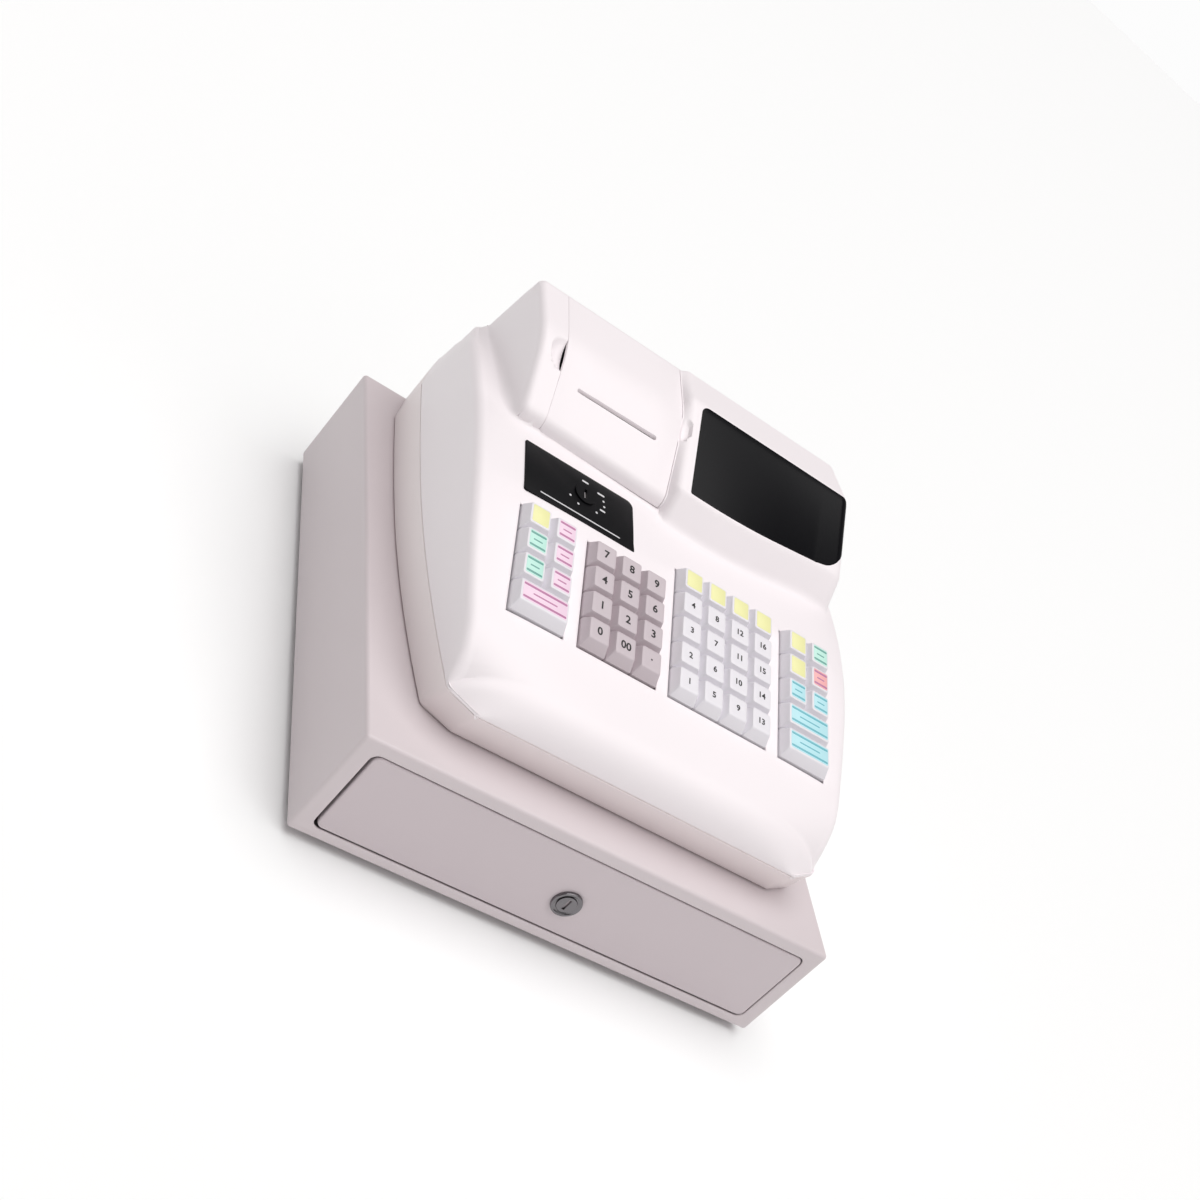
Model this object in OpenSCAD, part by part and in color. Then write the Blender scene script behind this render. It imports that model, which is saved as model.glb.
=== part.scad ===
// Electronic cash register: a moulded console with keyboard, mode switch, receipt printer and display,
// standing on a sheet-metal cash drawer. X is to the operator's right, Y to the back, Z up; the origin is
// on the counter under the middle of the drawer housing.

/* [Drawer housing] */
// Width of the sheet-metal housing
housing_w = 330; // [320:1:340]
// Depth of the housing, front to back
housing_d = 367; // [360:1:372]
// Height of the housing without its feet
housing_h = 77.6; // [76:0.2:80]
// Sheet thickness of housing and drawer pan
sheet = 1.2; // [0.8:0.1:1.5]
// Bend radius on the housing's edges
bend_r = 2.5; // [1.5:0.5:4]
// Height of the rubber feet
foot_h = 6; // [4:0.5:8]
// Width of the opening in the front frame
mouth_w = 309; // [300:1:310]
// Height of the opening in the front frame
mouth_h = 61.3; // [58:0.1:62]
// Corner radius of the opening
mouth_r = 5.5; // [4:0.5:8]
// Gap between the drawer front and the frame
front_gap = 1; // [0.6:0.1:1.5]

/* [Drawer] */
// Travel of the drawer
drawer_travel = 250; // [200:5:255]
// Depth of the hollow drawer front, which holds the lock
front_depth = 20; // [18:0.5:22]
// Diameter of the drawer lock's bezel
bezel_d = 19; // [18:0.5:22]
// Height of the lock above the counter
lock_z = 38.4; // [34:0.2:42]
// Number of note compartments
notes = 3; // [2:1:4]
// Number of coin cups
coins = 5; // [4:1:6]

/* [Console] */
// How far the console sits right of the drawer's middle
console_x = 4.5; // [0:0.5:6]
// Widest half width of the console
console_half_w = 149.5; // [146:0.5:150]
// Half width of the straight front, between its corner chamfers
front_half_w = 116.5; // [110:0.5:120]
// Front of the console at the parting line
front_y = -158.6; // [-160:0.2:-156]
// Front of the console where it stands on the housing
foot_y = -149; // [-151:0.5:-147]
// Wall thickness of the mouldings
wall = 2.6; // [2.2:0.1:3]
// Slope of the keyboard
keyboard_tilt = 16.34; // [15:0.02:18]
// Slope of the deck behind the keyboard
deck_tilt = 8; // [7:0.5:9]

/* [Keys] */
// Key pitch in both directions
pitch = 19.05; // [18.5:0.05:19.05]
// Gap between neighbouring key caps
key_gap = 0.7; // [0.5:0.1:1]
// Height of the key tops over the case
key_h = 7; // [6:0.5:8]
// Travel of a key
key_travel = 3; // [2:0.5:3.5]

/* [Printer] */
// Width of the ticket slot
slot_w = 63; // [60:1:70]
// Diameter of the platen roller
platen_d = 12; // [10:0.5:13]

/* [Hidden] */

$fn = 48;
eps = 0.01;

// Colours
paint_grey = [0.80, 0.76, 0.77];
case_white = [0.95, 0.92, 0.92];
case_grey = [0.84, 0.79, 0.79];
steel = [0.75, 0.75, 0.76];
black = [0.08, 0.08, 0.09];
tray_grey = [0.35, 0.36, 0.38];
board_green = [0.10, 0.35, 0.20];
key_white = [0.93, 0.93, 0.95];
key_mauve = [0.78, 0.72, 0.75];
key_yellow = [0.96, 0.95, 0.70];
key_green = [0.62, 0.88, 0.78];
key_pink = [0.96, 0.66, 0.80];
key_red = [0.95, 0.62, 0.62];
key_cyan = [0.72, 0.93, 0.95];

// Housing
front_face = -housing_d / 2;
back_face = housing_d / 2;
roof_z = foot_h + housing_h;
mouth_z = roof_z - 8.8 - mouth_h / 2;
inner_w = housing_w - 2 * sheet;
floor_z = foot_h + sheet;
ceiling_z = roof_z - sheet;
proud = 2;

// Drawer
panel_w = mouth_w - 2 * front_gap;
panel_h = mouth_h - 2 * front_gap;
panel_bottom = mouth_z - panel_h / 2;
pan_half_w = 150;
pan_front = front_face + front_depth;
pan_back = 145;
pan_top = 70;
rail_z = 50;
rail_h = 12;
rail_depth = 9;
runner_h = 9.4;
runner_y = [drawer_travel - 180, 140];
tray_half_w = 148;
tray_y = [pan_front + sheet + 0.6, pan_back - sheet - 0.6];
tray_bottom = panel_bottom + sheet + 0.1;
tray_top = 66;
tray_wall = 3;
tray_inner_w = 292;
cup_y = [tray_y[0] + 4, tray_y[0] + 81];
note_y = [cup_y[1] + 6, 124];
note_floor = tray_bottom + 2.6;
clip_y = 132;
clip_z = 60;
clip_w = 43;
clip_reach = 100;
bolt_y = 158;
bolt_z = 40;
bolt_r = 4;
strike_x = [12, 32];
cam_y = front_face + 15.5;
cam_reach = 28.4;
plug_r = 6;
lock_body_r = 8;
running = 0.05;

// Console outline
barrel_y = 35;
barrel_front_r = 1130;
barrel_rear_r = 2400;
taper_y = 146;
taper = 0.293;
rear_corner_r = 12;
chamfer_d = 11;
parting_z0 = 107.4;
parting_rise = 0.028;
floor_case_z = roof_z + wall;
front_top_z = 127.7;
bend_y = -14;
keys_y0 = -60.4;
keys_z0 = 157;
rear_break_z = 122;
rear_lean = tan(20);
crown = 2;
edge_roll = 7;

function keyboard_z(y) = keys_z0 + (y - keys_y0) * tan(keyboard_tilt);
function deck_z(y) = keyboard_z(bend_y) + (y - bend_y) * tan(deck_tilt);
function rear_y(z) = back_face - max(z - rear_break_z, 0) * rear_lean;
function parting_z(y) = parting_z0 + (y - front_y) * parting_rise;

// Where the deck's plane meets the leaning rear plane
shoulder_y = rear_y(deck_z(0)) / (1 + rear_lean * tan(deck_tilt));
body_path = [[front_y, parting_z0, 0], [front_y, front_top_z, 22], [bend_y, keyboard_z(bend_y), 60],
    [shoulder_y, deck_z(shoulder_y), 8], [back_face, rear_break_z, 0]];
crease_y = -147.5;
crease_path = [[crease_y, 60, 0], [crease_y, keyboard_z(crease_y) - crown, 48],
    [bend_y, keyboard_z(bend_y) - crown, 60], [shoulder_y, deck_z(shoulder_y) - crown, 8],
    [back_face, rear_break_z - crown, 0]];

// Hood over the printer, and hood over the display
hood_base_z = 140;
hood_left_x = -121.5;
hood_split_x = -9;
hood_right_x = 143.7;
hood_roll = 9;
printer_path = [[35.5, hood_base_z, 0], [36, 185.5, 10], [92, 216.5, 80], [146.2, 224.5, 6],
    [rear_y(hood_base_z), hood_base_z, 0]];
seam_x = [-106, -9.9];
seam_gap = 0.3;
hinge_r = 6;
recess_y = 90.5;
recess_z = 216;
slot_x = -58;
slot_y = 68.8;
slot_tilt = atan2(31, 56);
window_x = [1.5, 150];
window_top_y = 113;
window_t = 2.2;

// Vectors and rounded paths
function unit(v) = v / norm(v);
function flat(p) = [p[0], p[1]];
function inward(a, b) = let (d = unit(flat(b) - flat(a))) [d[1], -d[0]];
function arc_points(a, b, c, r, n) =
    let (u = unit(a - b), v = unit(c - b), half = acos(u * v) / 2,
        o = b + unit(u + v) * r / sin(half), s = b + u * r / tan(half) - o,
        start = atan2(s[1], s[0]), turn = sign(cross(b - a, c - b)) * (180 - 2 * half))
    [for (i = [0:n]) o + r * [cos(start + turn * i / n), sin(start + turn * i / n)]];
function rounded(p, n) = [for (i = [0:len(p) - 1])
    each (p[i][2] <= 0 ? [flat(p[i])] : arc_points(flat(p[i - 1]), flat(p[i]), flat(p[i + 1]), p[i][2], n))];

// Path moved inward by w, with its radii to match
function inset_path(p, w) = [for (i = [0:len(p) - 1])
    let (before = inward(p[max(i - 1, 0)], p[max(i, 1)]),
        after = inward(p[min(i, len(p) - 2)], p[min(i + 1, len(p) - 1)]),
        shift = (before + after) / (1 + before * after) * w)
    [p[i][0] + shift[0], p[i][1] + shift[1], p[i][2] > 0 ? max(p[i][2] - w, 0.8) : 0]];

// Solid through rings of equally many points, each ring counter-clockwise seen along the loft
module loft(rings) {
    n = len(rings[0]);
    last = (len(rings) - 1) * n;
    polyhedron(points = [for (ring = rings) each ring], faces = concat(
        [[for (i = [n - 1:-1:0]) i]], [[for (i = [0:n - 1]) last + i]],
        [for (j = [0:len(rings) - 2], i = [0:n - 1])
            let (a = j * n + i, b = j * n + (i + 1) % n) each [[a, b, b + n], [a, b + n, a + n]]]));
}

// Rectangle with round corners, centred
module round_rect(w, h, r) {
    square([w - 2 * r, h], center = true);
    square([w, h - 2 * r], center = true);
    for (x = [-1, 1], y = [-1, 1]) translate([x * (w / 2 - r), y * (h / 2 - r)]) circle(r);
}

module box(x, y, z) {
    translate([x[0], y[0], z[0]]) cube([x[1] - x[0], y[1] - y[0], z[1] - z[0]]);
}

// Cylinder along Y or X, from one coordinate to the other
module rod_y(x, z, y, r) {
    translate([x, y[0], z]) rotate([-90, 0, 0]) cylinder(r = r, h = y[1] - y[0]);
}
module rod_x(y, z, x, r) {
    translate([x[0], y, z]) rotate([0, 90, 0]) cylinder(r = r, h = x[1] - x[0]);
}
module rod_z(x, y, z, r) {
    translate([x, y, z[0]]) cylinder(r = r, h = z[1] - z[0]);
}

// Drawer housing -------------------------------------------------------------------------------------
screw_at = [for (x = [-112, 0, 112], y = [-112, 140]) [x + console_x, y]];
screw_r = 2;
screw_tip_z = 97;

module housing_block() {
    intersection() {
        translate([0, back_face, foot_h + housing_h / 2]) rotate([90, 0, 0])
            linear_extrude(housing_d) round_rect(housing_w, housing_h, bend_r);
        translate([-housing_w / 2, 0, foot_h + housing_h / 2]) rotate([90, 0, 90])
            linear_extrude(housing_w) round_rect(housing_d, housing_h, bend_r);
        translate([0, 0, foot_h]) linear_extrude(housing_h) round_rect(housing_w, housing_d, bend_r);
    }
}

module drawer_housing() {
    color(paint_grey) {
        difference() {
            housing_block();
            box([-inner_w / 2, inner_w / 2], [front_face + sheet, back_face - sheet], [floor_z, ceiling_z]);
            translate([0, front_face + 5, mouth_z]) rotate([90, 0, 0])
                linear_extrude(10) round_rect(mouth_w, mouth_h, mouth_r);
            for (p = screw_at) rod_z(p[0], p[1], [ceiling_z - 1, roof_z + 1], screw_r + 0.2);
        }
        // Bent keeper that the lock's cam drops behind
        box([-12, 12], [cam_y - 3, cam_y - 1.2], [floor_z - eps, 13.4]);
    }
}

module rubber_feet() {
    color(black) for (x = [-145, 145], y = [-163, 163])
        translate([x, y, 0]) {
            cylinder(r1 = 8, r2 = 9, h = foot_h);
        }
}

// One rail, on the right-hand wall: a channel open to the drawer, and a nylon pad at the front
module rail() {
    difference() {
        box([inner_w / 2 - rail_depth, inner_w / 2], [-176, 176], [rail_z - rail_h / 2, rail_z + rail_h / 2]);
        box([inner_w / 2 - rail_depth - 1, inner_w / 2 - 1.2], [-177, 177],
            [rail_z - rail_h / 2 + 1.2, rail_z + rail_h / 2 - 1.2]);
    }
    box([108, 132], [-178, -162], [floor_z, panel_bottom - 0.2]);
}

module slide_rails() {
    color(steel) {
        rail();
        mirror([1, 0, 0]) rail();
    }
}

module drawer_solenoid() {
    color(steel) difference() {
        union() {
            box([-36, 4], [147, 169], [bolt_z - 11, bolt_z + 11]);
            box([-30, -2], [169 - eps, back_face - sheet], [bolt_z - 9, bolt_z + 9]);
        }
        rod_x(bolt_y, bolt_z, [-28, 5], bolt_r + running);
    }
}

// Drawer ---------------------------------------------------------------------------------------------
module runner() {
    difference() {
        box([pan_half_w - eps, inner_w / 2 - 2], runner_y, [rail_z - runner_h / 2, rail_z + runner_h / 2]);
        box([pan_half_w + 1.4, inner_w / 2 + 1], [runner_y[0] - 1, runner_y[1] + 1],
            [rail_z - runner_h / 2 + 1.4, rail_z + runner_h / 2 - 1.4]);
    }
}

module drawer_pan() {
    color(steel) {
        difference() {
            box([-pan_half_w, pan_half_w], [pan_front, pan_back], [panel_bottom, pan_top]);
            box([-pan_half_w + sheet, pan_half_w - sheet], [pan_front + sheet, pan_back - sheet],
                [panel_bottom + sheet, pan_top + 1]);
        }
        runner();
        mirror([1, 0, 0]) runner();
        // Strike: an arm off the back wall, turned down behind the bolt
        box(strike_x, [pan_back - eps, 166], [bolt_z + 9, bolt_z + 11]);
        box(strike_x, [164, 166], [bolt_z - 7, bolt_z + 9 + eps]);
    }
}

module drawer_front() {
    color(paint_grey) difference() {
        translate([0, pan_front, mouth_z]) rotate([90, 0, 0])
            linear_extrude(front_depth) round_rect(panel_w, panel_h, mouth_r - front_gap);
        translate([0, pan_front + 1, mouth_z]) rotate([90, 0, 0])
            linear_extrude(front_depth - sheet + 1) round_rect(panel_w - 2 * sheet, panel_h - 2 * sheet, 3.3);
        rod_y(0, lock_z, [front_face - 1, front_face + 3], lock_body_r + running);
        // Slot that the cam turns down through
        box([-7, 25], [cam_y - 1.5, cam_y + 3.5], [panel_bottom - 1, panel_bottom + 3]);
    }
}

module drawer_lock() {
    color("silver") difference() {
        union() {
            rod_y(0, lock_z, [front_face - proud, front_face], bezel_d / 2);
            rod_y(0, lock_z, [front_face - eps, cam_y - 0.3], lock_body_r);
        }
        rod_y(0, lock_z, [front_face - proud - 1, cam_y + 1], plug_r + running);
    }
}

module lock_plug() {
    color("silver") difference() {
        union() {
            rod_y(0, lock_z, [front_face - proud + 0.4, cam_y + 2], plug_r);
            box([-4.5, cam_reach], [cam_y, cam_y + 2], [lock_z - 4.5, lock_z + 4.5]);
        }
        // Keyway
        box([-1, 1], [front_face - proud - 1, front_face + 8], [lock_z - 4, lock_z + 4]);
    }
}

note_w = (tray_inner_w - (notes - 1) * tray_wall) / notes;
coin_w = (tray_inner_w - (coins - 1) * tray_wall) / coins;
function note_x(i) = -tray_inner_w / 2 + i * (note_w + tray_wall);
function coin_x(i) = -tray_inner_w / 2 + i * (coin_w + tray_wall);

// Scooped coin cup: half-round floor along X
module cup(x, w) {
    r = (cup_y[1] - cup_y[0]) / 2;
    mid = cup_y[0] + r;
    translate([x, 0, 0]) rotate([90, 0, 90]) linear_extrude(w) {
        translate([mid, tray_bottom + 6 + r]) circle(r);
        translate([cup_y[0], tray_bottom + 6 + r]) square([2 * r, 40]);
    }
}

module cash_tray() {
    color(tray_grey) difference() {
        box([-tray_half_w, tray_half_w], tray_y, [tray_bottom, tray_top]);
        for (i = [0:coins - 1]) cup(coin_x(i), coin_w);
        for (i = [0:notes - 1]) {
            middle = note_x(i) + note_w / 2;
            box([note_x(i), note_x(i) + note_w], note_y, [note_floor, tray_top + 1]);
            // Pocket and bearing for the note clip
            box([middle - clip_w / 2 - 0.4, middle + clip_w / 2 + 0.4], [note_y[1] - 1, clip_y + 6.5],
                [clip_z - 12, tray_top + 1]);
            rod_x(clip_y, clip_z, [middle - clip_w / 2 - 5, middle + clip_w / 2 + 5], 2 + running);
        }
    }
}

module bill_clip(i) {
    middle = note_x(i) + note_w / 2;
    drop = atan2(clip_z - note_floor - 3, clip_reach);
    color(black) {
        rod_x(clip_y, clip_z, [middle - clip_w / 2, middle + clip_w / 2], 4);
        rod_x(clip_y, clip_z, [middle - clip_w / 2 - 4, middle + clip_w / 2 + 4], 2);
        translate([middle, clip_y, clip_z]) rotate([drop, 0, 0])
            translate([-15, -clip_reach, -1.5]) cube([30, clip_reach, 3]);
    }
}

module latch_bolt() {
    color("silver") {
        rod_x(bolt_y, bolt_z, [-26, 8], bolt_r);
    }
}

// Console shells -------------------------------------------------------------------------------------
function side_half_w(y) = y < taper_y
    ? console_half_w - pow(y - barrel_y, 2) / 2 / (y < barrel_y ? barrel_front_r : barrel_rear_r)
    : side_half_w(taper_y - eps) - (y - taper_y) * taper
        - (y > back_face - rear_corner_r
            ? rear_corner_r - sqrt(max(pow(rear_corner_r, 2) - pow(y - back_face + rear_corner_r, 2), 0)) : 0);
function half_w(y) = let (corner = front_y + chamfer_d) y < corner
    ? front_half_w + (side_half_w(corner) - front_half_w) * (y - front_y) / chamfer_d
    : side_half_w(y);

// Outline of the lower case whose front lies at y = front, moved in by w, clockwise from above
rear_stations = [taper_y, 160, 171.5, 176, 180, 182.6, back_face];
function outline(front, w) =
    let (start = front + chamfer_d,
        ys = concat([for (i = [0:8]) start + (taper_y - start) * i / 9], rear_stations),
        left = concat([[-front_half_w + w / 2, front + w]],
            [for (y = ys) [w - side_half_w(y), min(y, back_face - w)]]))
    concat(left, [for (i = [len(left) - 1:-1:0]) [-left[i][0], left[i][1]]]);
function place(points, x0) = [for (p = points) [p[0] + x0, p[1]]];

module lower_shell(w, bottom, over) {
    loft([[for (p = place(outline(foot_y, w), console_x)) [p[0], p[1], bottom]],
        [for (p = place(outline(front_y, w), console_x)) [p[0], p[1], parting_z(p[1]) + over]]]);
}

inlet_x = -90;
inlet_z = 99;
board_z = 92;
board_x = [-12, 120];
board_y = [-60, 120];

module lower_case() {
    color(case_grey) difference() {
        union() {
            difference() {
                lower_shell(0, roof_z, 0);
                lower_shell(wall, floor_case_z, 1);
            }
            for (p = screw_at) rod_z(p[0], p[1], [floor_case_z - eps, screw_tip_z + 1], 4.5);
            for (x = [board_x[0] + 5, board_x[1] - 5], y = [board_y[0] + 5, board_y[1] - 5])
                rod_z(x, y, [floor_case_z - eps, board_z], 3.5);
        }
        for (p = screw_at) rod_z(p[0], p[1], [roof_z - 1, screw_tip_z], screw_r + running);
        box([inlet_x - 14, inlet_x + 14], [back_face - 6, back_face + 1], [inlet_z - 10.5, inlet_z + 10.5]);
    }
}

module case_screws() {
    color("silver") for (p = screw_at) {
        rod_z(p[0], p[1], [ceiling_z - 2.2, ceiling_z], 4);
        rod_z(p[0], p[1], [ceiling_z - eps, screw_tip_z - 0.5], screw_r);
    }
}

// One cross-section of the console body at y, moved in by w: right side, crown, left side. The inner
// surface has fewer steps.
crown_steps = [1, 0.93, 0.84, 0.7, 0.5, 0, -0.5, -0.7, -0.84, -0.93, -1];
inner_crown_steps = [1, 0.84, 0.5, -0.5, -0.84, -1];
function section(y, w, top, crease) =
    let (x = half_w(y) - w, base = parting_z(y) - (w > 0 ? 3 : 0), high = lookup(y, top),
        edge = min(max(lookup(y, crease), base + 0.8), high - 0.3), roll = min(edge_roll - w, edge - base - 0.2))
    concat([[console_x + x, y, base]],
        [for (a = w > 0 ? [0, 45] : [0, 30, 60])
            [console_x + x - roll + roll * cos(a), y, edge - roll + roll * sin(a)]],
        [for (t = w > 0 ? inner_crown_steps : crown_steps)
            [console_x + t * (x - roll), y, edge + (high - edge) * (1 - pow(abs(t), 6))]],
        [for (a = w > 0 ? [45, 0] : [60, 30, 0])
            [console_x - x + roll - roll * cos(a), y, edge - roll + roll * sin(a)]],
        [[console_x - x, y, base]]);

module body(w) {
    arcs = w > 0 ? 3 : 6;
    top = [for (p = rounded(inset_path(body_path, w), arcs)) if (p[1] > parting_z0 + 1) p];
    crease = rounded(inset_path(crease_path, w), arcs);
    ys = concat([for (i = [0:arcs]) top[i][0]], w > 0 ? [-130, -112, -95, -19, -9, 146, 154, 162, 172]
        : [-138, -131, -122, -112, -95, -60, -19, -14, -9, 35, 90, 130, 148, 154, 158, 162, 171.5, 176, 180],
        [back_face - w]);
    loft([for (y = ys) section(y, w, top, crease)]);
}

// Printer hood, moved in by w; its front runs back a little towards the left
function printer_ring(x, w) =
    [for (p = rounded(inset_path(printer_path, w), 5))
        [x, p[0] + (p[0] < 60 ? 0.062 * (-11 - x) : 0), p[1]]];
module printer_hood(w) {
    right = w > 0 ? seam_x[1] : 0;
    loft(concat([for (a = [0:18:72])
            printer_ring(hood_left_x + w + hood_roll * (1 - cos(a)), w + hood_roll * (1 - sin(a)))],
        [printer_ring(hood_left_x + w + hood_roll, w), printer_ring(right, w)]));
}

// Display hood, moved in by w: plan curve along its front, leaning right-hand end
function front_curve(x) = pow(x - 30, 2) / 680;
function end_drop(x) = x < 126 ? 0 : x < 133.5 ? 9 - sqrt(81 - pow(x - 126, 2)) : 4 + (x - 133.5) * 4;
function end_pull(x) = x < 128 ? 0 : pow(x - 128, 2) / 31;
function display_path(x) =
    let (back = front_curve(x) + end_pull(x), top = 226 - end_drop(x))
    [[0 + back, hood_base_z, 0], [38.5 + back, top - 29.5, 4], [window_top_y, top - 0.6, 6],
        [rear_y(top), top, 6], [rear_y(hood_base_z), hood_base_z, 0]];
function display_ring(x, w, e) = [for (p = rounded(inset_path(display_path(x), w + e), 4)) [x, p[0], p[1]]];
module display_hood(w) {
    left_roll = 7;
    loft(concat([for (a = [0:22.5:67.5])
            display_ring(hood_split_x + w + left_roll * (1 - cos(a)), w, left_roll * (1 - sin(a)))],
        [for (x = w > window_t ? [hood_split_x + w + left_roll, 60, 126, 133.5, 138]
            : [hood_split_x + w + left_roll, 30, 60, 90, 112, 126, 129, 131.5, 133.5, 138])
            display_ring(x - (x > 120 ? w : 0), w, 0)],
        w > 0 ? [] : [display_ring(hood_right_x, w, 0)]));
}

// Region of the display window, seen from above
module window_region(gap) {
    lower = [for (x = [window_x[0] + gap:8:122]) [x, 39.5 + front_curve(x) + gap]];
    translate([0, 0, 188]) linear_extrude(45)
        polygon(concat(lower, [[127, 53], [131, 57], [134, 63], [137, 72], [window_x[1], 76]],
            [[window_x[1], window_top_y - gap], [window_x[0] + gap, window_top_y - gap]]));
}

// Frames of reference on the sloping surfaces
module on_keyboard() {
    translate([0, keys_y0, keys_z0]) rotate([keyboard_tilt, 0, 0]) children();
}
module on_deck() {
    translate([0, bend_y, deck_z(bend_y)]) rotate([deck_tilt, 0, 0]) children();
}
module on_cover() {
    translate([0, slot_y, 185.5 + (slot_y - 36) * tan(slot_tilt)]) rotate([slot_tilt, 0, 0]) children();
}

// Hinge of the printer cover: the middle of the hood's rear top edge
function hinge_centre() =
    let (a = flat(printer_path[2]), b = flat(printer_path[3]), c = flat(printer_path[4]),
        u = unit(a - b), v = unit(c - b), half = acos(u * v) / 2)
    b + unit(u + v) * hinge_r / sin(half);

// Keyboard layout ------------------------------------------------------------------------------------
// Groups: [left edge, columns, rows]
left_group = [-113.2, 2, 4];
number_group = [-64.6, 3, 4];
column_group = [2.4, 4, 5];
right_group = [89.4, 2, 5];
groups = [left_group, number_group, column_group, right_group];
key_front = -45.9;
front_extra = 2.2;
margin = 0.5;
skirt = 6;
guide_top = -skirt - key_travel - 1;
stem_r = 2.5;

function row_start(j) = key_front + j * pitch + (j > 0 ? front_extra : 0);
function row_d(j) = pitch + (j > 0 ? 0 : front_extra);

module key_openings() {
    for (g = groups) on_keyboard()
        box([g[0] - margin, g[0] + g[1] * pitch + margin],
            [key_front - margin, row_start(g[2]) + margin], [-12, 12]);
}

// Key cap: skirt below, flanks leaning in to a smaller flat top, front flank longest on the front row
module key_cap(g, col, row, cols) {
    w = cols * pitch - key_gap;
    d = row_d(row) - key_gap;
    front = row > 0 ? 2.2 : 4.4;
    on_keyboard() translate([g[0] + col * pitch + key_gap / 2, row_start(row) + key_gap / 2, 0]) {
        difference() {
            loft([for (s = [[0, 0, -skirt], [0, 0, 0.6], [2.3, front, key_h]])
                [[w - s[0], s[1], s[2]], [s[0], s[1], s[2]], [s[0], d - s[0] * 0.7, s[2]],
                    [w - s[0], d - s[0] * 0.7, s[2]]]]);
            box([1.3, w - 1.3], [1.3, d - 1.3], [-skirt - 1, 0.5]);
        }
        rod_z(w / 2, d / 2, [guide_top - 2.8, 0.6], stem_r);
    }
}

// Guide bores at the same places
module stem_at(g, col, row, cols, z, r) {
    on_keyboard() translate([g[0] + (col + cols / 2) * pitch, row_start(row) + row_d(row) / 2, 0])
        rod_z(0, 0, z, r);
}
function is_wide(g, row) = (g == left_group && row == 0) || (g == right_group && row < 2);
module all_stems(z, r) {
    for (g = groups, row = [0:g[2] - 1])
        if (is_wide(g, row)) {
            stem_at(g, 0, row, 2, z, r);
        } else {
            for (col = [0:g[1] - 1]) stem_at(g, col, row, 1, z, r);
        }
}

module key_board() {
    color(board_green) difference() {
        union() {
            on_keyboard() {
                box([-119, 133], [-52, 58], [guide_top - 2, guide_top]);
                box([-119, 133], [-52, 58], [guide_top - 8, guide_top - 6.4]);
                for (x = [-117, 129]) box([x, x + 2], [-52, 58], [guide_top - 7, guide_top - 1]);
                // Pillars up to the underside of the case
                for (x = [-70, -2.5, 84], y = [-30, 25]) rod_z(x, y, [guide_top - 1, -wall - 0.6], 3);
            }
        }
        all_stems([guide_top - 3, guide_top + 1], stem_r + running);
    }
}

module number_key(i) {
    color(key_mauve) key_cap(number_group, i % 3, 3 - floor(i / 3), 1);
}
left_colours = [key_yellow, key_pink, key_green, key_pink, key_green, key_pink];
module left_key(i) {
    color(left_colours[i]) key_cap(left_group, i % 2, 3 - floor(i / 2), 1);
}
right_colours = [key_yellow, key_green, key_yellow, key_red, key_cyan, key_cyan];
module right_key(i) {
    color(right_colours[i]) key_cap(right_group, i % 2, 4 - floor(i / 2), 1);
}
module column_keys(i) {
    color(key_white) for (row = [0:4]) key_cap(column_group, i, row, 1);
}

// Mode panel -----------------------------------------------------------------------------------------
panel_x = [-113, -30.5];
panel_len = 44.5;
panel_tilt = 8.8;
switch_at = [-68.5, 25.3];
switch_r = 7.5;
module on_panel() {
    translate([0, -18, 169.4]) rotate([panel_tilt, 0, 0]) children();
}

module mode_panel() {
    color(black) on_panel() difference() {
        union() {
            box(panel_x, [0, panel_len], [-1.5, 0.3]);
            rod_z(switch_at[0], switch_at[1], [-11, 0], 8.3);
        }
        rod_z(switch_at[0], switch_at[1], [-9, 1], switch_r + running);
    }
}

module mode_switch() {
    color(black) on_panel() difference() {
        rod_z(switch_at[0], switch_at[1], [-8.9, 1.4], switch_r);
        translate([switch_at[0], switch_at[1], 0]) box([-1, 1], [-4, 4], [-4, 2]);
    }
}

// Thumb recesses beside the cover, each with a bowl behind it
module thumb_ball(x, w) {
    r = (x < -60 ? 11 : 9) + w;
    translate([x, recess_y, recess_z]) loft([for (b = [-80, -50, -20, 20, 50, 80])
        [for (a = [0:22.5:337.5]) r * [cos(b) * cos(a), -cos(b) * sin(a), sin(b)]]]);
}

module upper_case() {
    axis = hinge_centre();
    color(case_white) difference() {
        union() {
            difference() {
                union() {
                    body(0);
                    printer_hood(0);
                    display_hood(0);
                }
                body(wall);
                printer_hood(wall);
                display_hood(wall);
            }
            intersection() {
                printer_hood(0.2);
                thumb_ball(seam_x[0], 1.8);
            }
            intersection() {
                display_hood(0.2);
                thumb_ball(seam_x[1], 1.8);
            }
        }
        key_openings();
        on_panel() {
            box(panel_x, [0, panel_len], [-1.5, 8]);
            rod_z(switch_at[0], switch_at[1], [-12, 0], 8.5);
        }
        // Printer bay, open above the deck as far as the hinge barrel
        intersection() {
            on_deck() box(seam_x, [40, 200], [0, 80]);
            box(seam_x, [20, axis[0]], [150, 240]);
        }
        rod_x(axis[0], axis[1], seam_x, hinge_r + 0.4);
        for (x = seam_x) thumb_ball(x, 0);
        window_region(0);
        rear_opening(0);
    }
}

rear_window_x = [45, 115];
module on_rear() {
    translate([0, back_face, rear_break_z]) rotate([atan(rear_lean), 0, 0]) children();
}
module rear_opening(gap) {
    on_rear() box([rear_window_x[0] + gap, rear_window_x[1] - gap], [-wall - 2, 1], [70 + gap, 96 - gap]);
}

module display_window() {
    color(black) intersection() {
        difference() {
            display_hood(0);
            display_hood(window_t);
        }
        window_region(0.15);
    }
}

module rear_window() {
    color(black) on_rear()
        box([rear_window_x[0] + 0.15, rear_window_x[1] - 0.15], [-2.4, -0.4], [70.15, 95.85]);
}

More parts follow.
